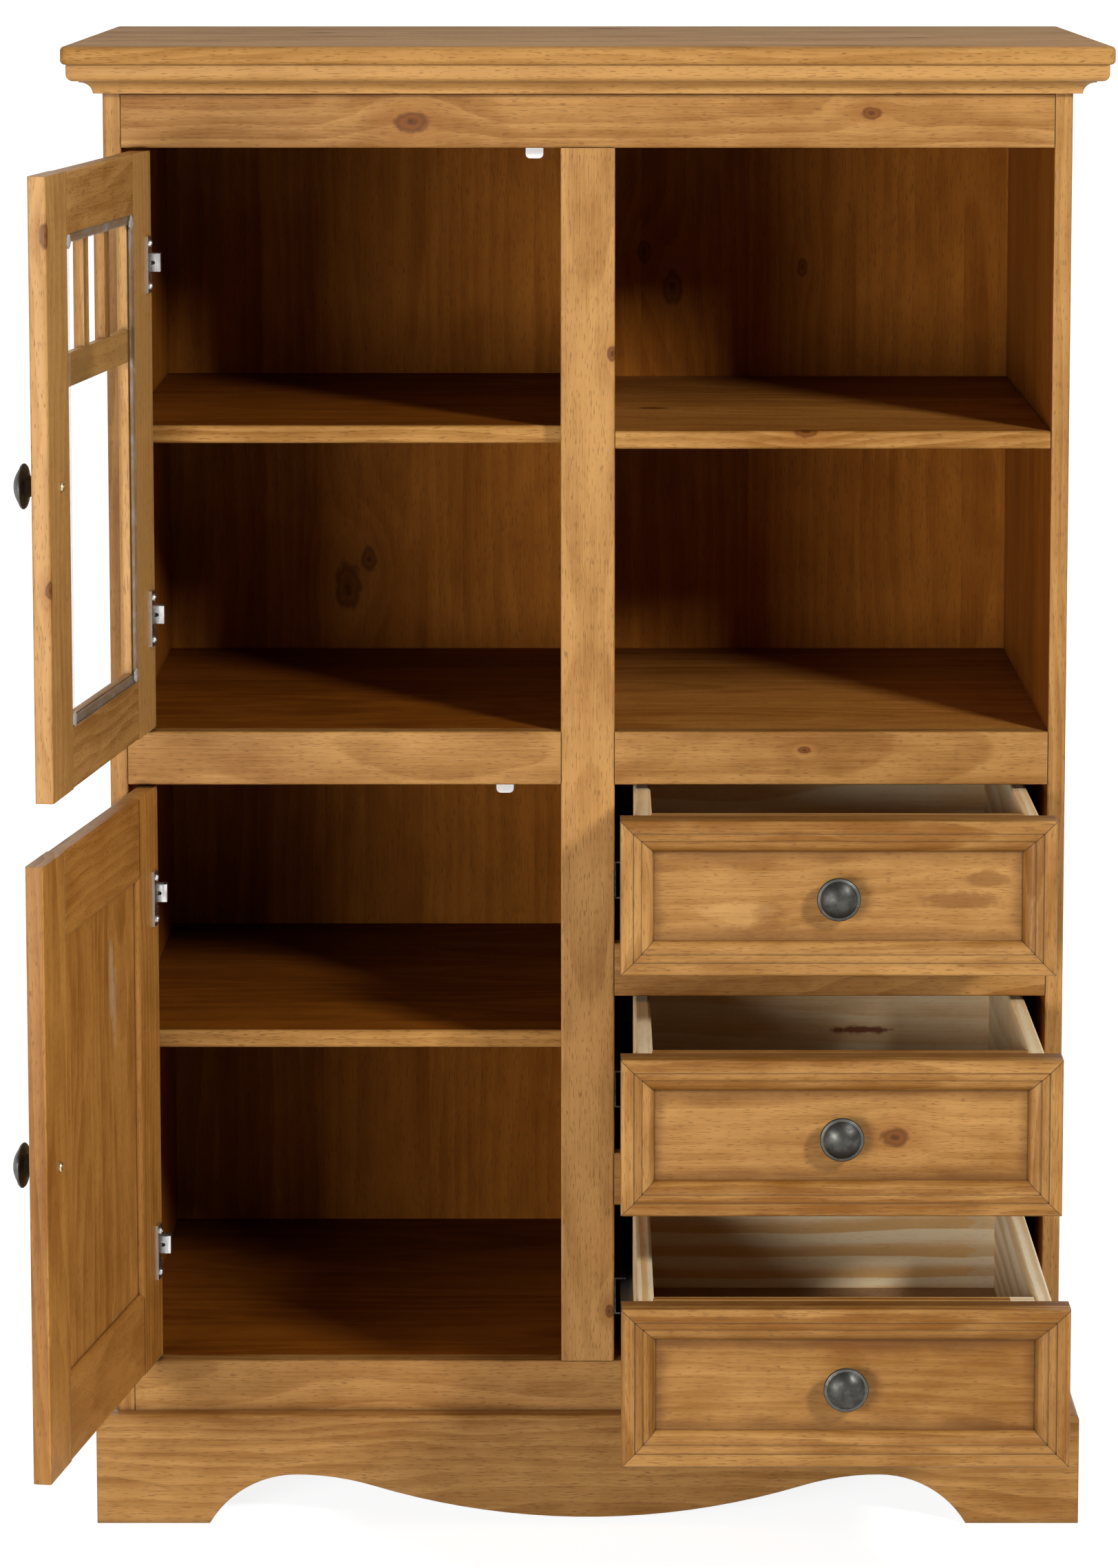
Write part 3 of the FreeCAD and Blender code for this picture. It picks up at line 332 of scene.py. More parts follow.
HONEY = Stain(
    early=(0.535, 0.279, 0.084),
    late=(0.225, 0.082, 0.009),
    groove_shade_and_joint=(0.060, 0.020, 0.005),
    worn=(0.62, 0.38, 0.15),
    matt=0.42,
    wax=0.22,
)
RAW_BROWN = Stain(
    early=(0.44, 0.23, 0.09),
    late=(0.25, 0.115, 0.037),
    groove_shade_and_joint=(0.08, 0.035, 0.012),
    worn=(0.50, 0.31, 0.14),
    matt=0.62,
    wax=0.2,
)
in_pine("plinth_front", "X", "Z", 3.0, HONEY, stave=0.14, tone=-0.08)
in_pine("plinth_sides", "Y", "Z", 5.0, HONEY, stave=0.14)
in_pine("plinth_rear_rail", "X", "Z", 8.0, RAW_BROWN, stave=0.2)
in_pine("plinth_corner_blocks", "Z", "X", 9.0, RAW_BROWN, stave=0.2)

# Carcass frame: side panels of edge-glued staves, with rails and a stile tenoned between them in front.
# All are solid pine in the same honey stain, with the front arrises eased by hand.
# The side panels' inner faces take a darker, browner copy of the stain as painted shade.

# Painted shade: a darker, browner copy of the honey stain for the faces inside the carcass
INSIDE_SHADE_STAIN = Stain(
    early=(0.315, 0.098, 0.009),
    late=(0.155, 0.039, 0.002),
    groove_shade_and_joint=(0.070, 0.026, 0.006),
    worn=(0.56, 0.31, 0.11),
    matt=0.48,
    wax=0.06,
)
INNER_FACE = 0.4105


def between_sides(finish, rest):
    return finish.maths("LESS_THAN", finish.maths("ABSOLUTE", rest["X"]), INNER_FACE)


INSIDE_SHADE_LINING = [(INSIDE_SHADE_STAIN, between_sides)]

# Knots: colours, shares, and the radii from the middle at which each look begins and is full
KNOT_BODY = (0.185, 0.056, 0.006)
KNOT_RIM = (0.045, 0.013, 0.003)
KNOT_HALO = (0.300, 0.108, 0.020)
BODY_SHARE = 0.88
RIM_SHARE = 0.7
HALO_SHARE = 0.42
BODY_REACH = (1.25, 0.7)
PITH_REACH = (0.6, 0.1)
HALO_REACH = (3.4, 0.9)
PUSH_REACH = (4.5, 0.4)
PUSH = -0.5
SWELL_REACH = (7.0, 0.2)
SWELL = 1.5
BARK_AT = 0.9
BARK_WIDTH = 0.4
BARK_SHARE = 0.6
KNOT_LENGTH = 0.6
KNOT_RAGGED = 0.8
RAGGED_FINE = (110.0, 110.0, 110.0)


def knotted(finish, local, knots, along, across, width):
    """Pushes the grain aside round knots, and tells where their body, rim, halo and swelling are."""
    looks = {"body": 0.0, "rim": 0.0, "halo": 0.0, "swell": 0.0}
    ragged = finish.noise(local, RAGGED_FINE)
    stretch = Vector([KNOT_LENGTH if letter == along else 1.0 for letter in "XYZ"])
    for centre, size in knots:
        away = finish.vectors("MULTIPLY", finish.vectors("SUBTRACT", local, centre), stretch)
        reach = finish.maths("DIVIDE", finish.vectors("LENGTH", away), size)
        push = finish.ease(reach, *PUSH_REACH, 0.0, PUSH)
        width = finish.maths("MULTIPLY_ADD", finish.split(away)[across], push, width)
        reach = finish.maths("SUBTRACT", reach, KNOT_RAGGED / 2)
        reach = finish.maths("MULTIPLY_ADD", ragged, KNOT_RAGGED, reach)
        from_bark = finish.maths("ABSOLUTE", finish.maths("SUBTRACT", reach, BARK_AT))
        for look, found in (
            ("body", finish.ease(reach, *BODY_REACH)),
            ("rim", finish.ease(from_bark, BARK_WIDTH, 0.0, 0.0, BARK_SHARE)),
            ("rim", finish.ease(reach, *PITH_REACH)),
            ("halo", finish.ease(reach, *HALO_REACH)),
        ):
            looks[look] = finish.maths("MAXIMUM", looks[look], found)
        swell = finish.ease(reach, *SWELL_REACH, 0.0, size * SWELL)
        looks["swell"] = finish.maths("ADD", looks["swell"], swell)
    return width, looks


def knot_coloured(finish, colour, looks):
    """Lays the colours of knots over a colour."""
    layers = {"halo": (HALO_SHARE, KNOT_HALO), "body": (BODY_SHARE, KNOT_BODY), "rim": (RIM_SHARE, KNOT_RIM)}
    for look, (share, shown) in layers.items():
        colour = finish.tint(finish.maths("MULTIPLY", looks[look], share), colour, shown)
    return colour


STILE_KNOTS = [(0.0215, -0.492, 1.062, 0.004), (0.0195, -0.492, 0.192, 0.0035)]
TOP_RAIL_KNOTS = [(-0.1556, -0.492, 1.2658, 0.0085), (0.249, -0.492, 1.2738, 0.005)]
MID_RAIL_KNOTS = [(0.193, -0.492, 0.707, 0.003)]
for side, seed in (("side_panel_left", 11.0), ("side_panel_right", 14.0)):
    in_pine(side, "Z", "Y", seed, HONEY, stave=0.082, tone=-0.06, contrast=0.8, linings=INSIDE_SHADE_LINING)
in_pine("centre_stile", "Z", "X", 21.0, HONEY, stave=0.07, tone=-0.2, knots=STILE_KNOTS)
in_pine("top_rail", "X", "Z", 23.0, HONEY, stave=0.08, flame=0.5, tone=0.16, knots=TOP_RAIL_KNOTS)
in_pine("mid_rails", "X", "Z", 27.0, HONEY, stave=0.08, tone=0.08, knots=MID_RAIL_KNOTS)
in_pine("drawer_rails", "X", "Z", 31.0, HONEY, stave=0.08, tone=0.06)
in_pine("bottom_rail", "X", "Z", 33.0, HONEY, stave=0.08, tone=0.08)

# Inside boards: a partition, decks, a ceiling and loose shelves of edge-glued pine, in one coat of stain.
# Most of them take the darker inside stain as painted shade; the open boards on the right are lighter, and
# all front edges are finished like the rails.
# On all but the partition, painted shade darkens each board towards the back.

DECK = Stain(
    early=(0.600, 0.265, 0.052),
    late=(0.320, 0.108, 0.014),
    groove_shade_and_joint=(0.070, 0.026, 0.006),
    worn=(0.56, 0.31, 0.11),
    matt=0.46,
    wax=0.1,
)
# Painted shade: a near-black copy of the inside stain, laid on towards the back of the boards
BACK_SHADE_STAIN = INSIDE_SHADE_STAIN.recoloured((0.100, 0.021, 0.001), (0.045, 0.008, 0.0005))
BACK_SHADE_FROM = -0.34
BACK_SHADE_AT = -0.05
BACK_SHADE_SHARE = 0.7
EDGE_DEPTH = 0.003
SHELF_KNOTS = [(0.193, -0.489, 0.993, 0.006), (0.06, -0.30, 0.993, 0.007)]
INSIDE_BOARDS = {
    "centre_partition": ("Z", "Y", 37.0, INSIDE_SHADE_STAIN, ()),
    "top_panel": ("X", "Y", 41.0, INSIDE_SHADE_STAIN, ()),
    "mid_deck_left": ("X", "Y", 43.0, INSIDE_SHADE_STAIN, ()),
    "mid_deck_right": ("X", "Y", 47.0, DECK, ()),
    "bottom_deck": ("X", "Y", 51.0, INSIDE_SHADE_STAIN, ()),
    "shelf_upper_left": ("X", "Y", 53.0, INSIDE_SHADE_STAIN, ()),
    "shelf_upper_right": ("X", "Y", 57.0, DECK, SHELF_KNOTS),
    "shelf_lower_left": ("X", "Y", 59.0, INSIDE_SHADE_STAIN, ()),
}


def shaded_towards_back(finish, rest):
    """Painted shade that comes on softly towards the back of a board."""
    return finish.ease(rest["Y"], BACK_SHADE_FROM, BACK_SHADE_AT, 0.0, BACK_SHADE_SHARE)


def front_edge(board):
    """A switch for the front edge of a board."""
    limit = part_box(board)[0].y + EDGE_DEPTH
    return lambda finish, rest: finish.maths("LESS_THAN", rest["Y"], limit)


for board, (along, across, seed, stain, knots) in INSIDE_BOARDS.items():
    linings = [(HONEY, front_edge(board))]
    if along == "X":
        linings.insert(0, (BACK_SHADE_STAIN, shaded_towards_back))
    in_pine(board, along, across, seed, stain, stave=0.078, knots=knots, linings=linings, plain=True)

# Back panel: a thin board with upright grain, let into rebates behind and nailed round its edge.
# It is stained in one dull coat on the show side and left bare behind.
# The nails are small bright heads every hand's breadth, and a row goes into the partition.

BACK = Stain(
    early=(0.435, 0.152, 0.018),
    late=(0.190, 0.051, 0.004),
    groove_shade_and_joint=(0.06, 0.025, 0.008),
    worn=(0.46, 0.27, 0.11),
    matt=0.55,
    wax=0.04,
)
BARE = Stain(
    early=(0.960, 0.800, 0.520),
    late=(0.770, 0.470, 0.190),
    groove_shade_and_joint=(0.40, 0.24, 0.10),
    worn=(0.88, 0.75, 0.53),
    matt=0.6,
    wax=0.2,
)
REAR_FACE = -0.0025
BACK_KNOTS = [
    (-0.236, -0.008, 0.785, 0.012),
    (-0.215, -0.008, 0.812, 0.007),
    (0.083, -0.008, 1.080, 0.009),
    (0.055, -0.008, 1.115, 0.006),
    (0.210, -0.008, 1.100, 0.005),
    (-0.020, -0.008, 0.800, 0.007),
]


def behind(finish, rest):
    return finish.maths("GREATER_THAN", rest["Y"], REAR_FACE)


in_pine(
    "back_panel", "Z", "X", 61.0, BACK, stave=0.105, ring=0.011, figure=0.24, flame=0.6, contrast=0.74,
    knots=BACK_KNOTS, linings=[(BARE, behind)], plain=True,
)

OUTWARD = Vector((0, 0, 1))
SHARP_EDGE = math.radians(32)
PATCH_LEVEL = (0.3, 0.7)
PLATE_DEPTH = 0.00004


def turned(shell, place, facing, profile, sides=20):
    """A round shape whose radius and height follow a profile out from a face, and the ring it ends in."""
    swing = OUTWARD.rotation_difference(Vector(facing)).to_matrix()
    rings = []
    for radius, height in profile:
        ring = []
        for step in range(sides):
            angle = 2 * math.pi * step / sides
            out = Vector((radius * math.cos(angle), radius * math.sin(angle), height))
            ring.append(shell.verts.new(Vector(place) + swing @ out))
        rings.append(ring)
    for inner, outer in zip(rings, rings[1:]):
        for step in range(sides):
            after = (step + 1) % sides
            shell.faces.new((inner[step], inner[after], outer[after], outer[step]))
    shell.faces.new(rings[0])
    return rings[-1]


def fitted(name, shell, material, body):
    """Makes a piece of a shell, in its material, that moves with a body."""
    bmesh.ops.recalc_face_normals(shell, faces=shell.faces)
    mesh = bpy.data.meshes.new(name)
    shell.to_mesh(mesh)
    shell.free()
    mesh.shade_smooth()
    mesh.set_sharp_from_angle(angle=SHARP_EDGE)
    mesh.materials.append(material)
    made = bpy.data.objects.new(name, mesh)
    bpy.context.scene.collection.objects.link(made)
    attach(made, body)


def plated(name, bright, dull, stretch, smooth, rough):
    """A metal that goes from bright and smooth to dull and rough in fine patches."""
    finish = Finish(name)
    patch = finish.noise(finish.place(), stretch, 3.0)
    finish.shade(
        finish.tint(finish.ease(patch, *PATCH_LEVEL), bright, dull),
        Metallic=1.0,
        Roughness=finish.ease(patch, *PATCH_LEVEL, smooth, rough),
    )
    finish.relief(patch, PLATE_DEPTH)
    return finish.material


NAIL_PITCH = 0.1
NAIL_INSET = 0.008
NAIL_SIDES = 12
NAIL_HEAD = [(0.0022, 0.0), (0.0022, 0.0003), (0.0016, 0.0006), (0.0006, 0.0007)]
back_low, back_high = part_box("back_panel")


def spaced(low, high):
    """Places for nails between two edges of the board, about a pitch apart."""
    span = high - low - 2 * NAIL_INSET
    count = round(span / NAIL_PITCH)
    return [low + NAIL_INSET + step * span / count for step in range(count + 1)]


nail_rows = spaced(back_low.z, back_high.z)
nail_columns = spaced(back_low.x, back_high.x)
nail_places = set()
for z in nail_rows:
    for x in (nail_columns[0], 0.0, nail_columns[-1]):
        nail_places.add((round(x, 4), round(z, 4)))
for x in nail_columns:
    for z in (nail_rows[0], nail_rows[-1]):
        nail_places.add((round(x, 4), round(z, 4)))
nails = bmesh.new()
for x, z in sorted(nail_places):
    nails.faces.new(turned(nails, (x, back_high.y, z), (0, 1, 0), NAIL_HEAD, NAIL_SIDES))
steel = plated(
    "nail_steel", bright=(0.62, 0.61, 0.58), dull=(0.34, 0.32, 0.29),
    stretch=(700.0, 700.0, 700.0), smooth=0.28, rough=0.5,
)
fitted("back_panel_nails", nails, steel, "carcass")

# Cornice and top: a stepped moulding mitred round three sides, with a thick edge-glued slab on it.
# The moulding is run in one length of pine, and stain lies dark in its coves.
# The slab is rubbed dull, because it is handled most.

RUBBED = Stain(HONEY.early, HONEY.late, HONEY.groove_shade_and_joint, HONEY.worn, matt=0.58, wax=0.08)
TOP_KNOTS = [(0.02, -0.05, 1.3335, 0.010), (-0.25, -0.17, 1.3335, 0.007), (0.30, -0.30, 1.3335, 0.005)]
in_pine("cornice_front", "X", "Z", 67.0, HONEY, stave=0.08, tone=-0.35, contrast=1.2)
in_pine("cornice_sides", "Y", "Z", 69.0, HONEY, stave=0.08, tone=-0.05)
in_pine("cornice_back_rail", "X", "Z", 71.0, RAW_BROWN, stave=0.08)
in_pine("top_slab", "X", "Y", 73.0, RUBBED, stave=0.088, tone=-0.3, contrast=0.8, knots=TOP_KNOTS)

# Glazed door: a pine frame with a crossbar and two upright bars in front of one pane.
# Stiles and bars have upright grain, and the rails and crossbar level grain.

joints = {joint["name"]: joint for joint in frame["joints"]}
PIN = Vector(joints["upper_door_hinge"]["pos_m"][:2])
upper_turn = math.radians(-joints["upper_door_hinge"]["range_deg"][0])
DOOR_INNER_FACE = 0.0105
FREE_ARRIS = 0.3705


def door_ways(turn):
    """A door's directions when it stands open: along its width from the pin, and in from its face."""
    return Vector((math.cos(turn), -math.sin(turn), 0.0)), Vector((math.sin(turn), math.cos(turn), 0.0))


def on_door(turn, along, inward, z):
    width_way, in_way = door_ways(turn)
    return Vector((PIN.x, PIN.y, z)) + width_way * along + in_way * inward


UPPER_STILE_KNOTS = [
    (*on_door(upper_turn, FREE_ARRIS, DOOR_INNER_FACE, 1.193), 0.0055),
    (*on_door(upper_turn, FREE_ARRIS, DOOR_INNER_FACE, 0.903), 0.0045),
]
in_pine("upper_door_stiles", "Z", "X", 77.0, HONEY, upper_turn, stave=0.2, tone=-0.4, knots=UPPER_STILE_KNOTS)
in_pine("upper_door_rails", "X", "Z", 79.0, HONEY, upper_turn, stave=0.2, tone=-0.1)
# Painted light: the crossbar's tone is lightened to make up for the shade it stands in behind the pane
in_pine("upper_door_crossbar", "X", "Z", 81.0, HONEY, upper_turn, stave=0.2, tone=-0.4)
in_pine("upper_door_muntins", "Z", "X", 83.0, HONEY, upper_turn, stave=0.2, tone=-0.1)

# Pane: clear float glass in a rebate of the frame, held by soft clear strips.
# Each corner of the strips is stuck down with a lump of silicone, squeezed out by hand.

PANE_IOR = 1.05
PANE_SMEARS = (0.45, 0.8)
STRIP_SMEARS = (0.45, 0.7)
STRIP_DEPTH = 0.0004
SILICONE_DEPTH = 0.0003
pane = Finish("float_glass")
smear = pane.noise(pane.place(), (9.0, 9.0, 5.0), 4.0)
film = pane.tint(smear, (0.985, 0.995, 0.99), (0.96, 0.975, 0.97))
pane.shade(film, Transmission_Weight=1.0, IOR=PANE_IOR, Roughness=pane.ease(smear, *PANE_SMEARS, 0.0, 0.03))
dress("upper_door_glass", pane.material)
frame["nodes"]["upper_door_glass"].visible_shadow = False

strip = Finish("clear_strip")
ripple = strip.noise(strip.place(), (90.0, 90.0, 90.0), 3.0)
strip.shade(
    strip.tint(strip.ease(ripple, *STRIP_SMEARS), (0.62, 0.44, 0.26), (0.93, 0.90, 0.84)),
    Alpha=0.14,
    IOR=1.1,
    Roughness=strip.ease(ripple, *PATCH_LEVEL, 0.02, 0.16),
)
strip.relief(ripple, STRIP_DEPTH)
dress("upper_door_glazing_strips", strip.material)

silicone = Finish("corner_silicone")
cured = silicone.noise(silicone.place(), (180.0, 180.0, 180.0), 3.0)
silicone.shade(
    silicone.tint(cured, (0.90, 0.89, 0.86), (0.74, 0.70, 0.63)),
    Transmission_Weight=0.45,
    IOR=1.4,
    Roughness=silicone.ease(cured, *PATCH_LEVEL, 0.22, 0.42),
)
silicone.relief(cured, SILICONE_DEPTH)


def span_on_door(node, way):
    """How far a node reaches from the pin in one of its door's directions."""
    pin = Vector((PIN.x, PIN.y, 0.0))
    reach = [(point.co - pin).dot(way) for point in frame["nodes"][node].data.vertices]
    return min(reach), max(reach)


UNEVEN = 0.16
BROAD_WAVE = (4.1, 3.3)
FINE_WAVE = (5.0, 7.0)
FINE_SHARE = 0.5
LUMP_SHIFT = 1.7
LUMP_SUNK = 0.0004


def lump(shell, place, ways, size, shift):
    """A flattened, uneven lump with the given half sizes."""
    for vert in bmesh.ops.create_icosphere(shell, subdivisions=3, radius=1.0)["verts"]:
        x, y, z = vert.co
        broad = math.sin(BROAD_WAVE[0] * x + shift) * math.cos(BROAD_WAVE[1] * z - shift)
        fine = math.sin(FINE_WAVE[1] * z + FINE_WAVE[0] * x + shift)
        uneven = 1.0 + UNEVEN * (broad + FINE_SHARE * fine)
        out = sum((way * part * half for way, part, half in zip(ways, (x, y, z), size)), Vector())
        vert.co = place + out * uneven


LUMP_SIZE = (0.0068, 0.0012, 0.0062)
width_way, in_way = door_ways(upper_turn)
strip_low, strip_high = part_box("upper_door_glazing_strips")
strip_near, strip_far = span_on_door("upper_door_glazing_strips", width_way)
strip_face = span_on_door("upper_door_glazing_strips", in_way)[1]
lumps = bmesh.new()
for count, (along, z) in enumerate([
    (strip_near + LUMP_SIZE[0], strip_low.z + LUMP_SIZE[2]),
    (strip_near + LUMP_SIZE[0], strip_high.z - LUMP_SIZE[2]),
    (strip_far - LUMP_SIZE[0], strip_low.z + LUMP_SIZE[2]),
    (strip_far - LUMP_SIZE[0], strip_high.z - LUMP_SIZE[2]),
]):
    centre = on_door(upper_turn, along, strip_face - LUMP_SUNK, z)
    lump(lumps, centre, (width_way, in_way, Vector((0, 0, 1))), LUMP_SIZE, LUMP_SHIFT * count)
fitted("pane_corner_silicone", lumps, silicone.material, "upper_door")

# Panelled door: the same frame with wider rails, round a thin panel of upright staves held in a groove.
# Its inner face and knob edge took more stain, and a little wax was left standing there.

lower_turn = math.radians(-joints["lower_door_hinge"]["range_deg"][0])

# Marks: how ragged and streaked their edges are, and where they fade
MARK_RAGGED = 0.9
MARK_STREAKED = 1.6
MARK_REACH = (1.05, 0.55)


def marked(finish, colour, local, marks, streak):
    """Lays marks over a colour, with ragged edges that are drawn out along the grain's streaks."""
    ragged = finish.noise(local, RAGGED_FINE)
    for centre, size, shown, share in marks:
        away = finish.vectors("DIVIDE", finish.vectors("SUBTRACT", local, centre), size)
        reach = finish.maths("MULTIPLY_ADD", ragged, MARK_RAGGED, finish.vectors("LENGTH", away))
        reach = finish.maths("SUBTRACT", reach, (MARK_RAGGED + MARK_STREAKED) / 2)
        reach = finish.maths("MULTIPLY_ADD", streak, MARK_STREAKED, reach)
        colour = finish.tint(finish.ease(reach, *MARK_REACH, 0.0, share), colour, shown)
    return colour


OLD_WAX = (0.80, 0.64, 0.42)
WAX_SMEAR = [
    (on_door(lower_turn, 0.137, 0.005, 0.530), (0.013, 0.008, 0.040), OLD_WAX, 0.28),
    (on_door(lower_turn, 0.128, 0.005, 0.497), (0.008, 0.008, 0.050), OLD_WAX, 0.22),
    (on_door(lower_turn, 0.140, 0.005, 0.215), (0.016, 0.008, 0.012), OLD_WAX, 0.24),
]
AMBER = HONEY.recoloured((0.620, 0.285, 0.064), (0.265, 0.086, 0.007))
SOAKED = HONEY.recoloured((0.420, 0.190, 0.048), (0.190, 0.066, 0.008))


def past(way, distance):
    """A switch for what lies further than a distance from the pin in one of a door's directions."""

    def switch(finish, rest):
        reach = finish.maths("MULTIPLY_ADD", rest["X"], way.x, finish.maths("MULTIPLY", rest["Y"], way.y))
        return finish.maths("GREATER_THAN", reach, PIN.dot(way.xy) + distance)

    return switch


LOWER_FRAME = {
    "lower_door_stiles": ("Z", "X", 87.0, {"stave": 0.2, "tone": -0.12}),
    "lower_door_rails": ("X", "Z", 89.0, {"stave": 0.2, "tone": -0.08, "contrast": 0.75}),
    "lower_door_panel": ("Z", "X", 93.0, {"stave": 0.062, "tone": -0.1, "marks": WAX_SMEAR}),
}
width_way, in_way = door_ways(lower_turn)
for node, (along, across, seed, looks) in LOWER_FRAME.items():
    mid_thickness = sum(span_on_door(node, in_way)) / 2
    linings = [(AMBER, past(in_way, mid_thickness)), (SOAKED, past(width_way, FREE_ARRIS))]
    in_pine(node, along, across, seed, HONEY, lower_turn, linings=linings, **looks)

# Hinges: concealed hinges of bright nickel-plated steel. A cranked arm is screwed to the side panel
# and a flanged leaf to the door, with a pin between them. A plate with a slot covers the arm's crank,
# and a small screw lies in the slot. The shelf pins are plated too.

nickel = plated(
    "bright_nickel", bright=(0.80, 0.80, 0.78), dull=(0.54, 0.54, 0.53),
    stretch=(420.0, 420.0, 60.0), smooth=0.24, rough=0.42,
)
for fitting in ("hinge_arms", "upper_door_hinge_leaves", "lower_door_hinge_leaves", "shelf_pins"):
    dress(fitting, nickel)

# A screw's head and its cross recess, in radii
HEAD_WALL = 0.26
HEAD_RISE = 0.5
HEAD_CROWN = 0.84
CROSS_REACH = 0.56
CROSS_WIDTH = 0.14
CROSS_TAPER = 0.7
CROSS_FLOOR = 0.12
CROSS_CORNERS = ((CROSS_REACH, -CROSS_WIDTH), (CROSS_REACH, CROSS_WIDTH), (CROSS_WIDTH, CROSS_WIDTH))


def screw(shell, place, facing, radius, spin):
    """A pan-headed screw with a cross recess."""
    profile = [(radius, 0.0), (radius, radius * HEAD_WALL), (radius * HEAD_CROWN, radius * HEAD_RISE)]
    rim = turned(shell, place, facing, profile)
    swing = OUTWARD.rotation_difference(Vector(facing)).to_matrix()
    mouth = []
    floor = []
    for quarter in range(4):
        turn = Matrix.Rotation(spin + quarter * math.pi / 2, 3, "Z")
        for x, y in CROSS_CORNERS:
            out = turn @ Vector((x, y, 0.0)) * radius
            upper = out + Vector((0, 0, radius * HEAD_RISE))
            lower = out * CROSS_TAPER + Vector((0, 0, radius * CROSS_FLOOR))
            mouth.append(shell.verts.new(Vector(place) + swing @ upper))
            floor.append(shell.verts.new(Vector(place) + swing @ lower))
    corners = len(mouth)
    for step in range(corners):
        after = (step + 1) % corners
        shell.faces.new((floor[step], floor[after], mouth[after], mouth[step]))
    shell.faces.new(floor)
    edges = []
    for loop in (rim, mouth):
        edges += [shell.edges.get((loop[step], loop[(step + 1) % len(loop)])) for step in range(len(loop))]
    bmesh.ops.triangle_fill(shell, edges=edges, use_beauty=True)


LEAF_SCREW_ALONG = 0.0047
LEAF_SCREW_RISE = 0.019
LEAF_SCREW_HEAD = 0.0034
LEAF_SCREW_SPIN = 9.0
ARM_SCREWS = (-0.450, -0.434)
ARM_SCREW_HEAD = 0.0036
ARM_FACE = -0.4085
CRANK_FACE = -0.4725
COVER_THICK = 0.0007
SLOT_SHADE_THICK = 0.0001
COVER_OUTLINE = [
    (-0.0090, -0.0052), (-0.0005, -0.0052), (0.0024, -0.0074), (0.0056, -0.0078), (0.0062, -0.0072),
]
SLOT_PLACE = -0.3866
SLOT_REACH = 0.0021
SLOT_ROUND = 0.0017
SLOT_STEPS = 8
CRANK_SCREW_PLACE = -SLOT_REACH / 3
CRANK_SCREW_HEAD = 0.0013
CRANK_SCREW_SPIN = 2.0
HINGE_LEVELS = {"upper_door": (0.826, 1.141), "lower_door": (0.2485, 0.573)}


def upright(x, z, level, out):
    """A point on a crank, out from its face towards the door."""
    return Vector((SLOT_PLACE + x, CRANK_FACE - out, level + z))


def plate(shell, loops, level, thick):
    """A closed plate on a crank's face. The first loop of points is its edge, and a second one is a hole."""
    front_edges = []
    back_edges = []
    for points in loops:
        front = [shell.verts.new(upright(x, z, level, thick)) for x, z in points]
        back = [shell.verts.new(upright(x, z, level, 0.0)) for x, z in points]
        for step in range(len(points)):
            shell.faces.new((front[step - 1], front[step], back[step], back[step - 1]))
            front_edges.append(shell.edges.get((front[step - 1], front[step])))
            back_edges.append(shell.edges.get((back[step - 1], back[step])))
    for edges in (front_edges, back_edges):
        bmesh.ops.triangle_fill(shell, edges=edges, use_beauty=True)


def cover(shell, slots, level):
    """A plate over a crank, with an oblong slot in it and a near-black sheet in the slot as painted shade."""
    outline = COVER_OUTLINE + [(x, -z) for x, z in reversed(COVER_OUTLINE)]
    slot = []
    for side in (1, -1):
        for step in range(SLOT_STEPS + 1):
            angle = math.pi * (step / SLOT_STEPS - 0.5)
            x = SLOT_REACH + SLOT_ROUND * math.cos(angle)
            slot.append((side * x, side * SLOT_ROUND * math.sin(angle)))
    plate(shell, (outline, slot), level, COVER_THICK)
    plate(slots, (slot,), level, SLOT_SHADE_THICK)


arm_screws = bmesh.new()
covers = bmesh.new()
slot_shade_sheets = bmesh.new()
for body, turn in (("upper_door", upper_turn), ("lower_door", lower_turn)):
    width_way, in_way = door_ways(turn)
    leaf_face = span_on_door(f"{body}_hinge_leaves", in_way)[1]
    leaf_screws = bmesh.new()
    for level in HINGE_LEVELS[body]:
        for rise in (-LEAF_SCREW_RISE, LEAF_SCREW_RISE):
            head = on_door(turn, LEAF_SCREW_ALONG, leaf_face, level + rise)
            screw(leaf_screws, head, in_way, LEAF_SCREW_HEAD, LEAF_SCREW_SPIN * (level + rise))
        for count, y in enumerate(ARM_SCREWS):
            screw(arm_screws, (ARM_FACE, y, level), (1, 0, 0), ARM_SCREW_HEAD, level + count)
        in_slot = upright(CRANK_SCREW_PLACE, 0.0, level, 0.0)
        screw(arm_screws, in_slot, (0, -1, 0), CRANK_SCREW_HEAD, CRANK_SCREW_SPIN * level)
        cover(covers, slot_shade_sheets, level)
    fitted(f"{body}_leaf_screws", leaf_screws, nickel, body)
fitted("hinge_arm_screws", arm_screws, nickel, "carcass")
fitted("hinge_arm_covers", covers, nickel, "carcass")
# Painted shade: a near-black sheet lies in each slot of the covers
slot_shade_finish = plated(
    "slot_painted_shade", bright=(0.05, 0.05, 0.05), dull=(0.02, 0.02, 0.02),
    stretch=(500.0, 500.0, 500.0), smooth=0.5, rough=0.7,
)
fitted("hinge_arm_slot_shades", slot_shade_sheets, slot_shade_finish, "carcass")

# Door catches: small catches of white moulded plastic, screwed on behind the rails.
# They hold the doors shut.

CATCH_DEPTH = 0.00006
white = Finish("catch_white")
moulded = white.noise(white.place(), (300.0, 300.0, 300.0), 3.0)
white.shade(
    white.tint(moulded, (0.88, 0.88, 0.87), (0.78, 0.78, 0.77)),
    Roughness=white.ease(moulded, *PATCH_LEVEL, 0.32, 0.45),
)
white.relief(moulded, CATCH_DEPTH)
dress("door_catches", white.material)

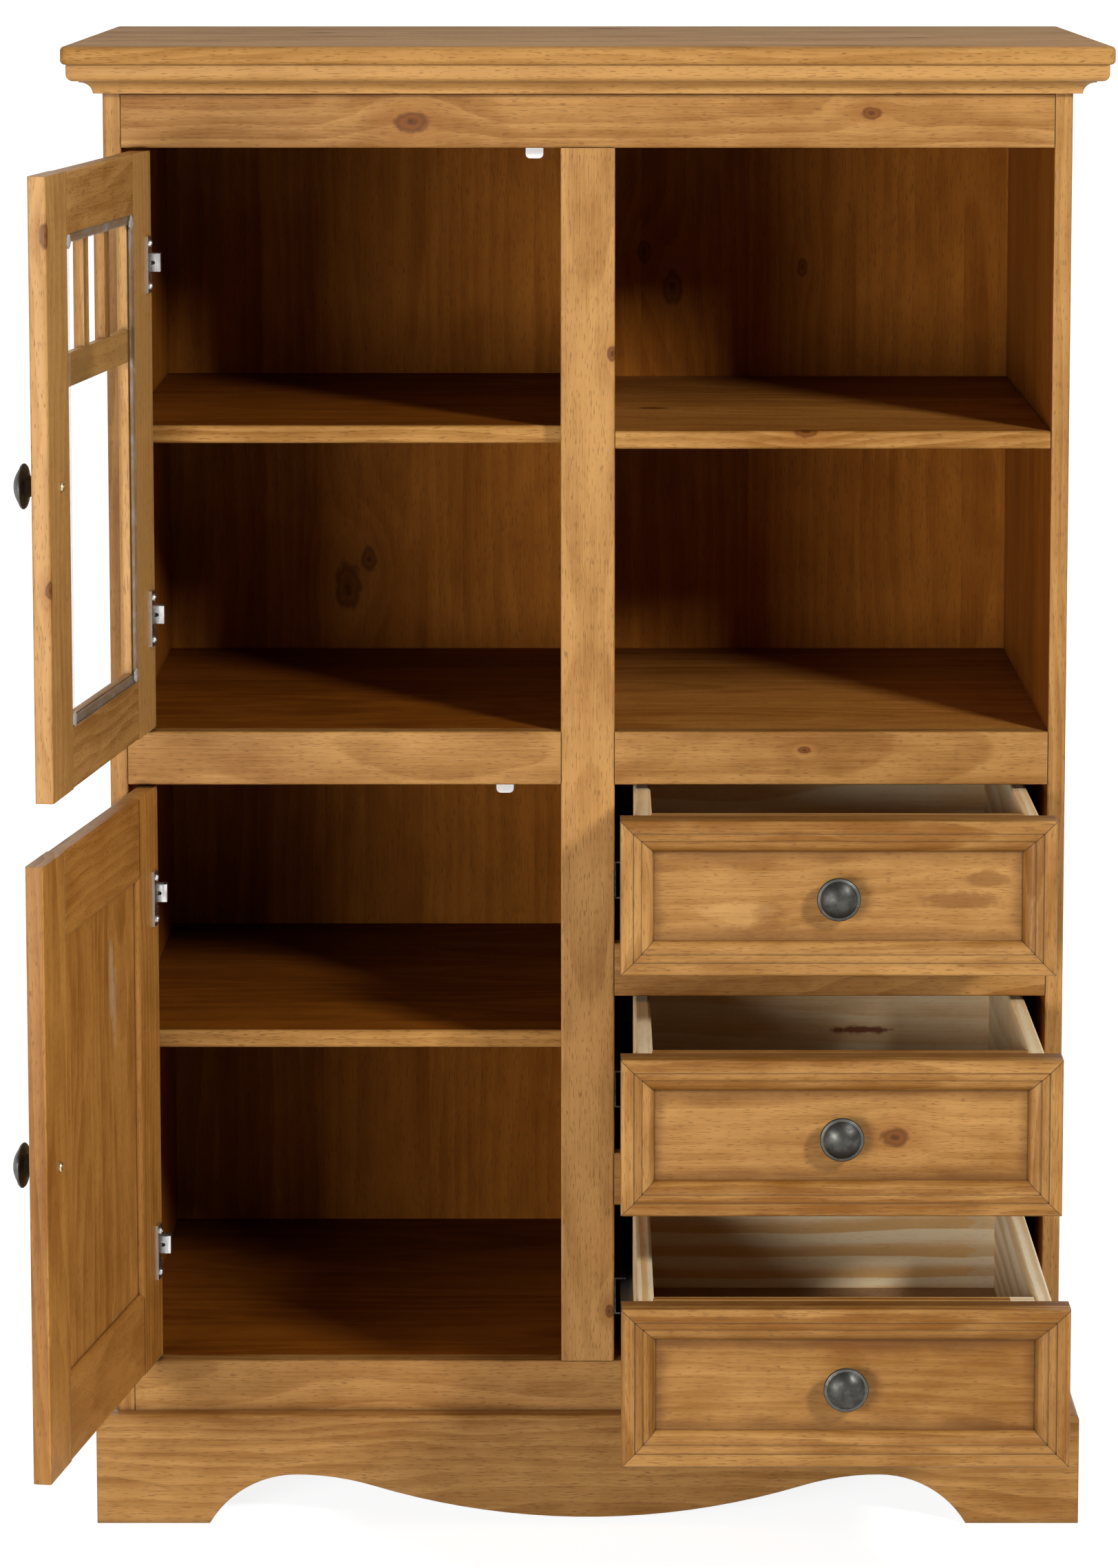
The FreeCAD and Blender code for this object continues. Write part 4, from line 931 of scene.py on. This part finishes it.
# Drawer fronts: a pine panel with four mitred moulding strips round it, whose grain turns with each strip.
# Stain lies dark in the mitres, and painted shade darkens the grooves and the edge of the field next to the
# mouldings.
# The upper panel took the stain unevenly, and the middle one has a knot.

DRAWERS = ("upper_drawer", "middle_drawer", "lower_drawer")
MITRE_LINE = 0.0004
PANEL_SEED = 101.0
MOULDING_SEED = 104.0
SEED_STEP = 13.0


def inside_edge(finish, value, low, high):
    """How far a value is inside the nearer of two limits."""
    off_centre = finish.maths("ABSOLUTE", finish.maths("SUBTRACT", value, (low + high) / 2))
    return finish.maths("SUBTRACT", (high - low) / 2, off_centre)


def inside_front(finish, rest, drawer):
    """How far a point is inside a drawer front's nearer side and its nearer end above or below."""
    low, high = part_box(f"{drawer}_mouldings")
    return inside_edge(finish, rest["X"], low.x, high.x), inside_edge(finish, rest["Z"], low.z, high.z)


def mitred(drawer):
    """Switches to upright grain on a drawer's standing strips, and marks its mitres."""

    def switch(finish, rest):
        from_side, from_end = inside_front(finish, rest, drawer)
        standing = finish.maths("LESS_THAN", from_side, from_end)
        apart = finish.maths("ABSOLUTE", finish.maths("SUBTRACT", from_side, from_end))
        return standing, finish.ease(apart, MITRE_LINE * 2, MITRE_LINE / 2)

    return switch


DARK_STAIN = (0.190, 0.068, 0.012)
PALE_SWIRL = (0.640, 0.360, 0.125)
PANEL_MARKS = {
    "upper_drawer": [
        ((0.346, -0.631, 0.6195), (0.022, 0.02, 0.008), DARK_STAIN, 0.6),
        ((0.322, -0.631, 0.5995), (0.040, 0.02, 0.009), DARK_STAIN, 0.6),
        ((0.130, -0.631, 0.5873), (0.034, 0.02, 0.014), PALE_SWIRL, 0.4),
        ((0.158, -0.631, 0.5830), (0.016, 0.02, 0.018), DARK_STAIN, 0.4),
    ],
    "lower_drawer": [((0.230, -0.799, 0.2520), (0.040, 0.02, 0.010), DARK_STAIN, 0.35)],
}
# Painted shade: a darker copy of the stain towards the edge of each drawer's field, next to the mouldings
FIELD_SHADE_STAIN = HONEY.recoloured((0.270, 0.122, 0.030), (0.112, 0.038, 0.005))
FIELD_EDGE = 0.029
FIELD_SHADE_REACH = 0.018
FIELD_SHADE_SHARE = 0.75
FIELD_SHADE_FINE = (22.0, 22.0, 22.0)


def round_field(drawer):
    """A switch for painted shade that comes on softly and unevenly towards the edge of a drawer's field."""
    far = FIELD_EDGE + FIELD_SHADE_REACH

    def switch(finish, rest):
        near = finish.maths("MINIMUM", *inside_front(finish, rest, drawer))
        uneven = finish.noise(finish.place(), FIELD_SHADE_FINE, 3.0)
        near = finish.maths("MULTIPLY_ADD", uneven, FIELD_SHADE_REACH, near)
        return finish.ease(near, far + FIELD_SHADE_REACH / 3, far - FIELD_SHADE_REACH / 2, 0.0, FIELD_SHADE_SHARE)

    return switch


PANEL_KNOTS = {"middle_drawer": [(0.2635, -0.709, 0.4085, 0.0072)]}
for count, drawer in enumerate(DRAWERS):
    in_pine(
        f"{drawer}_panel", "X", "Z", PANEL_SEED + SEED_STEP * count, HONEY,
        stave=0.16, figure=0.17, tone=0.09, contrast=0.88,
        knots=PANEL_KNOTS.get(drawer, ()), marks=PANEL_MARKS.get(drawer, ()),
        linings=[(FIELD_SHADE_STAIN, round_field(drawer))],
    )
    in_pine(
        f"{drawer}_mouldings", "X", "Z", MOULDING_SEED + SEED_STEP * count, HONEY,
        stave=0.06, tone=0.04, contrast=1.15, crossed=("Z", "X", mitred(drawer)),
    )

# Drawer boxes: bare pale pine, glued and nailed behind the fronts, with thin brown boards for bottoms.
# The top edge of each box's front is stained with the drawer front.
# The middle drawer's back has a resin streak, and the lower one's is made of two lengths finger-jointed.

BOX_SIDE = 0.0151
BOX_FRONT = 0.016
BOX_SEED = 106.0
TOP_STAINED = 0.002
RESIN = (0.200, 0.045, 0.014)
RESIN_STREAK = [((0.257, -0.270, 0.4009), (0.042, 0.02, 0.0052), RESIN, 0.9)]


def boxed(drawer):
    """Switches to the grain of a drawer box's sides, which run front to back."""
    low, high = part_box(f"{drawer}_box")

    def switch(finish, rest):
        return finish.maths("LESS_THAN", inside_edge(finish, rest["X"], low.x, high.x), BOX_SIDE), None

    return switch


FINGER_AT = 0.357
FINGER_REACH = 0.010
FINGER_PITCH = 0.009


def beyond_fingers(finish, rest):
    """The short length past a finger joint."""
    zigzag = finish.maths("PINGPONG", rest["Z"], FINGER_PITCH / 2)
    edge = finish.maths("MULTIPLY_ADD", zigzag, FINGER_REACH / FINGER_PITCH * 2, FINGER_AT - FINGER_REACH / 2)
    return finish.maths("GREATER_THAN", rest["X"], edge)


PALE = BARE.recoloured((0.930, 0.780, 0.540), (0.760, 0.540, 0.290))
BOX_MARKS = {"middle_drawer": RESIN_STREAK}
BOX_FIGURE = {"upper_drawer": 0.7, "middle_drawer": 0.35, "lower_drawer": 1.6}


def front_edge_of_box(drawer):
    """A switch for the top edge of a box's front board."""
    low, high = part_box(f"{drawer}_box")

    def switch(finish, rest):
        between = finish.maths("GREATER_THAN", inside_edge(finish, rest["X"], low.x, high.x), BOX_SIDE)
        near = finish.maths("LESS_THAN", rest["Y"], low.y + BOX_FRONT + TOP_STAINED)
        upper = finish.maths("GREATER_THAN", rest["Z"], high.z - TOP_STAINED)
        return finish.maths("MULTIPLY", finish.maths("MULTIPLY", between, near), upper)

    return switch


BROAD_SHARE = 0.5
FELT_DEPTH = 0.0001
base = Finish("drawer_base_board")
felt = base.noise(base.place(), (260.0, 260.0, 260.0), 4.0)
broad = base.noise(base.place(), (14.0, 14.0, 14.0), 2.0)
base_tone = base.maths("MULTIPLY_ADD", broad, BROAD_SHARE, base.maths("MULTIPLY", felt, 1.0 - BROAD_SHARE))
base.shade(
    base.tint(base_tone, (0.42, 0.23, 0.10), (0.22, 0.115, 0.045)),
    Roughness=base.ease(felt, *PATCH_LEVEL, 0.55, 0.7),
)
base.relief(felt, FELT_DEPTH)
for count, drawer in enumerate(DRAWERS):
    linings = [(HONEY, front_edge_of_box(drawer))]
    if drawer == "lower_drawer":
        linings.append((PALE, beyond_fingers))
    in_pine(
        f"{drawer}_box", "X", "Z", BOX_SEED + SEED_STEP * count, BARE, stave=0.2, ring=0.0095,
        figure=BOX_FIGURE[drawer], flame=0.3, flecked=0.1,
        marks=BOX_MARKS.get(drawer, ()), linings=linings, crossed=("Y", "Z", boxed(drawer)), plain=True,
    )
    dress(f"{drawer}_bottom", base.material)

# Drawer runners: dull zinc-plated steel channels on battens, and their mates on the drawers' sides. Their
# colour is made almost black as painted shade of the gap they sit in.
# The battens are rough pine, screwed to the partition so that the channels clear the stile.

# Painted shade: the runner metal is coloured nearly black to stay as dark as the shaded gap
shade_dark_zinc = plated(
    "runner_zinc_shade_dark", bright=(0.19, 0.19, 0.20), dull=(0.11, 0.11, 0.115),
    stretch=(340.0, 7.0, 340.0), smooth=0.42, rough=0.56,
)
for fitting in ["runner_channels"] + [f"{drawer}_runners" for drawer in DRAWERS]:
    dress(fitting, shade_dark_zinc)
in_pine("runner_battens", "Y", "Z", 143.0, RAW_BROWN, stave=0.2)

# Knobs: cast and turned in dark pewter, with the rim rubbed bright.
# Each is held by a yellow plated screw from inside.

KNOB_EDGE = 0.0012
KNOB_EDGE_LEVEL = (0.99, 0.86)
KNOB_EDGE_SHARE = 0.7
KNOB_DEPTH = 0.00005
pewter = Finish("dark_pewter")
mottle = pewter.noise(pewter.place(), (170.0, 170.0, 170.0), 4.0)
rounded, facing = pewter.rounded(KNOB_EDGE, samples=4)
cast = pewter.tint(pewter.ease(mottle, *PATCH_LEVEL), (0.078, 0.075, 0.065), (0.042, 0.040, 0.036))
cast = pewter.tint(pewter.ease(facing, *KNOB_EDGE_LEVEL, 0.0, KNOB_EDGE_SHARE), cast, (0.42, 0.41, 0.37))
pewter.shade(cast, Metallic=0.85, Roughness=pewter.ease(mottle, *PATCH_LEVEL, 0.36, 0.48))
pewter.relief(mottle, KNOB_DEPTH, rounded)
for holder in DRAWERS + ("upper_door", "lower_door"):
    dress(f"{holder}_knob", pewter.material)

KNOB_SCREW_HEAD = 0.0042
KNOB_SCREW_SPIN = 0.4
DOOR_KNOB_ALONG = 0.3307
DRAWER_KNOB_X = 0.217
yellow = plated(
    "screw_yellow", bright=(0.80, 0.66, 0.38), dull=(0.55, 0.45, 0.27),
    stretch=(500.0, 500.0, 500.0), smooth=0.3, rough=0.48,
)
for body, turn in (("upper_door", upper_turn), ("lower_door", lower_turn)):
    knob_low, knob_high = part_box(f"{body}_knob")
    head = on_door(turn, DOOR_KNOB_ALONG, DOOR_INNER_FACE, (knob_low.z + knob_high.z) / 2)
    door_screw = bmesh.new()
    screw(door_screw, head, door_ways(turn)[1], KNOB_SCREW_HEAD, turn)
    fitted(f"{body}_knob_screw", door_screw, yellow, body)
for count, drawer in enumerate(DRAWERS):
    knob_low, knob_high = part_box(f"{drawer}_knob")
    inner_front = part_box(f"{drawer}_box")[0].y + BOX_FRONT
    head = (DRAWER_KNOB_X, inner_front, (knob_low.z + knob_high.z) / 2)
    drawer_screw = bmesh.new()
    screw(drawer_screw, head, (0, 1, 0), KNOB_SCREW_HEAD, KNOB_SCREW_SPIN + count)
    fitted(f"{drawer}_knob_screw", drawer_screw, yellow, drawer)

# Floor: a wide sheet of white paper that the cabinet stands on.
# It keeps the cabinet's shadow and turns to plain white further off.

FLOOR_REACH = 60.0
FLOOR_DROP = 0.0005
NEAR_GLOW = 0.88
NEAR = 0.8
FAR = 2.2
ANY_BOUNCE = 0.5
ground = bmesh.new()
bmesh.ops.create_grid(ground, x_segments=1, y_segments=1, size=FLOOR_REACH)
bmesh.ops.translate(ground, verts=ground.verts, vec=(0, 0, -FLOOR_DROP))
floor_mesh = bpy.data.meshes.new("floor")
ground.to_mesh(floor_mesh)
ground.free()
floor = bpy.data.objects.new("floor", floor_mesh)
bpy.context.scene.collection.objects.link(floor)
paper = Finish("white_paper")
speck = paper.noise(paper.place(), (40.0, 40.0, 40.0))
rays = paper.add("LightPath").outputs
seen = paper.maths("MAXIMUM", rays["Is Glossy Ray"], rays["Is Transmission Ray"])
seen = paper.maths("MULTIPLY", seen, paper.maths("LESS_THAN", rays["Diffuse Depth"], ANY_BOUNCE))
seen = paper.maths("MAXIMUM", seen, rays["Is Camera Ray"])
glow = paper.ease(paper.vectors("LENGTH", paper.place()), NEAR, FAR, NEAR_GLOW, 1.0)
paper.shade(
    paper.tint(speck, (0.50, 0.50, 0.50), (0.48, 0.48, 0.48)),
    Roughness=0.9,
    Specular_IOR_Level=0.0,
    Emission_Color=(1.0, 1.0, 1.0, 1.0),
    Emission_Strength=paper.maths("MULTIPLY", seen, glow),
)
floor_mesh.materials.append(paper.material)

# Studio: a dim room with pale paper behind, a large low lamp on the left and a small one on the right.
# The paper lights the sides, the top and the back, and leaves the inside dark.
# The camera stands in front at the height of the top and looks a little down.

ROOM_LIGHT = 0.03
PAPER_LIGHT = 0.8
FRONT_DIM = 0.12
FRONT_TO_BACK = (-0.3, 0.4)
ROOM_TO_PAPER = (-0.15, 0.3)
world = bpy.data.worlds.new("studio")
bpy.context.scene.world = world
world.use_nodes = True
sky = Mixer(world.node_tree)
rays = sky.add("LightPath").outputs
way = sky.split(sky.add("TexCoord").outputs["Generated"])["Y"]
mirrored = sky.maths("MULTIPLY", rays["Is Glossy Ray"], sky.ease(way, *FRONT_TO_BACK, FRONT_DIM, 1.0))
shown = sky.maths("MAXIMUM", mirrored, rays["Is Transmission Ray"])
shown = sky.maths("MULTIPLY", shown, sky.maths("LESS_THAN", rays["Diffuse Depth"], ANY_BOUNCE))
shown = sky.maths("MAXIMUM", shown, rays["Is Camera Ray"])
room = sky.ease(way, *ROOM_TO_PAPER, ROOM_LIGHT, PAPER_LIGHT)
level = sky.maths("MAXIMUM", shown, room)
backdrop = sky.add("Background", Color=(1.0, 1.0, 1.0, 1.0), Strength=level)
output = sky.add("OutputWorld")
sky.tree.links.new(backdrop.outputs[0], output.inputs["Surface"])

LAMP_AIM = Vector((0.0, -0.4, 0.7))


def lamp(name, place, size, power):
    data = bpy.data.lights.new(name, "AREA")
    data.shape = "RECTANGLE"
    data.size, data.size_y = size
    data.energy = power
    made = bpy.data.objects.new(name, data)
    made.location = place
    made.visible_transmission = False
    made.rotation_mode = "QUATERNION"
    made.rotation_quaternion = (LAMP_AIM - Vector(place)).to_track_quat("-Z", "Y")
    bpy.context.scene.collection.objects.link(made)


lamp("left_lamp", place=(-1.75, -3.75, 0.85), size=(1.5, 0.9), power=86.0)
lamp("right_lamp", place=(2.25, -3.35, 2.5), size=(0.5, 0.6), power=100.0)

CAMERA_PLACE = (-0.0027, -4.9536, 1.4959)
CAMERA_DOWN = math.radians(7.226)
bpy.context.scene.view_settings.view_transform = "Standard"
lens = bpy.data.cameras.new("camera")
lens.lens = 116.5
lens.sensor_width = 36.0
lens.shift_x = -0.0164
lens.shift_y = -0.18
camera = bpy.data.objects.new("camera", lens)
camera.location = CAMERA_PLACE
camera.rotation_euler = (math.pi / 2 - CAMERA_DOWN, 0.0, 0.0)
bpy.context.scene.collection.objects.link(camera)
bpy.context.scene.camera = camera
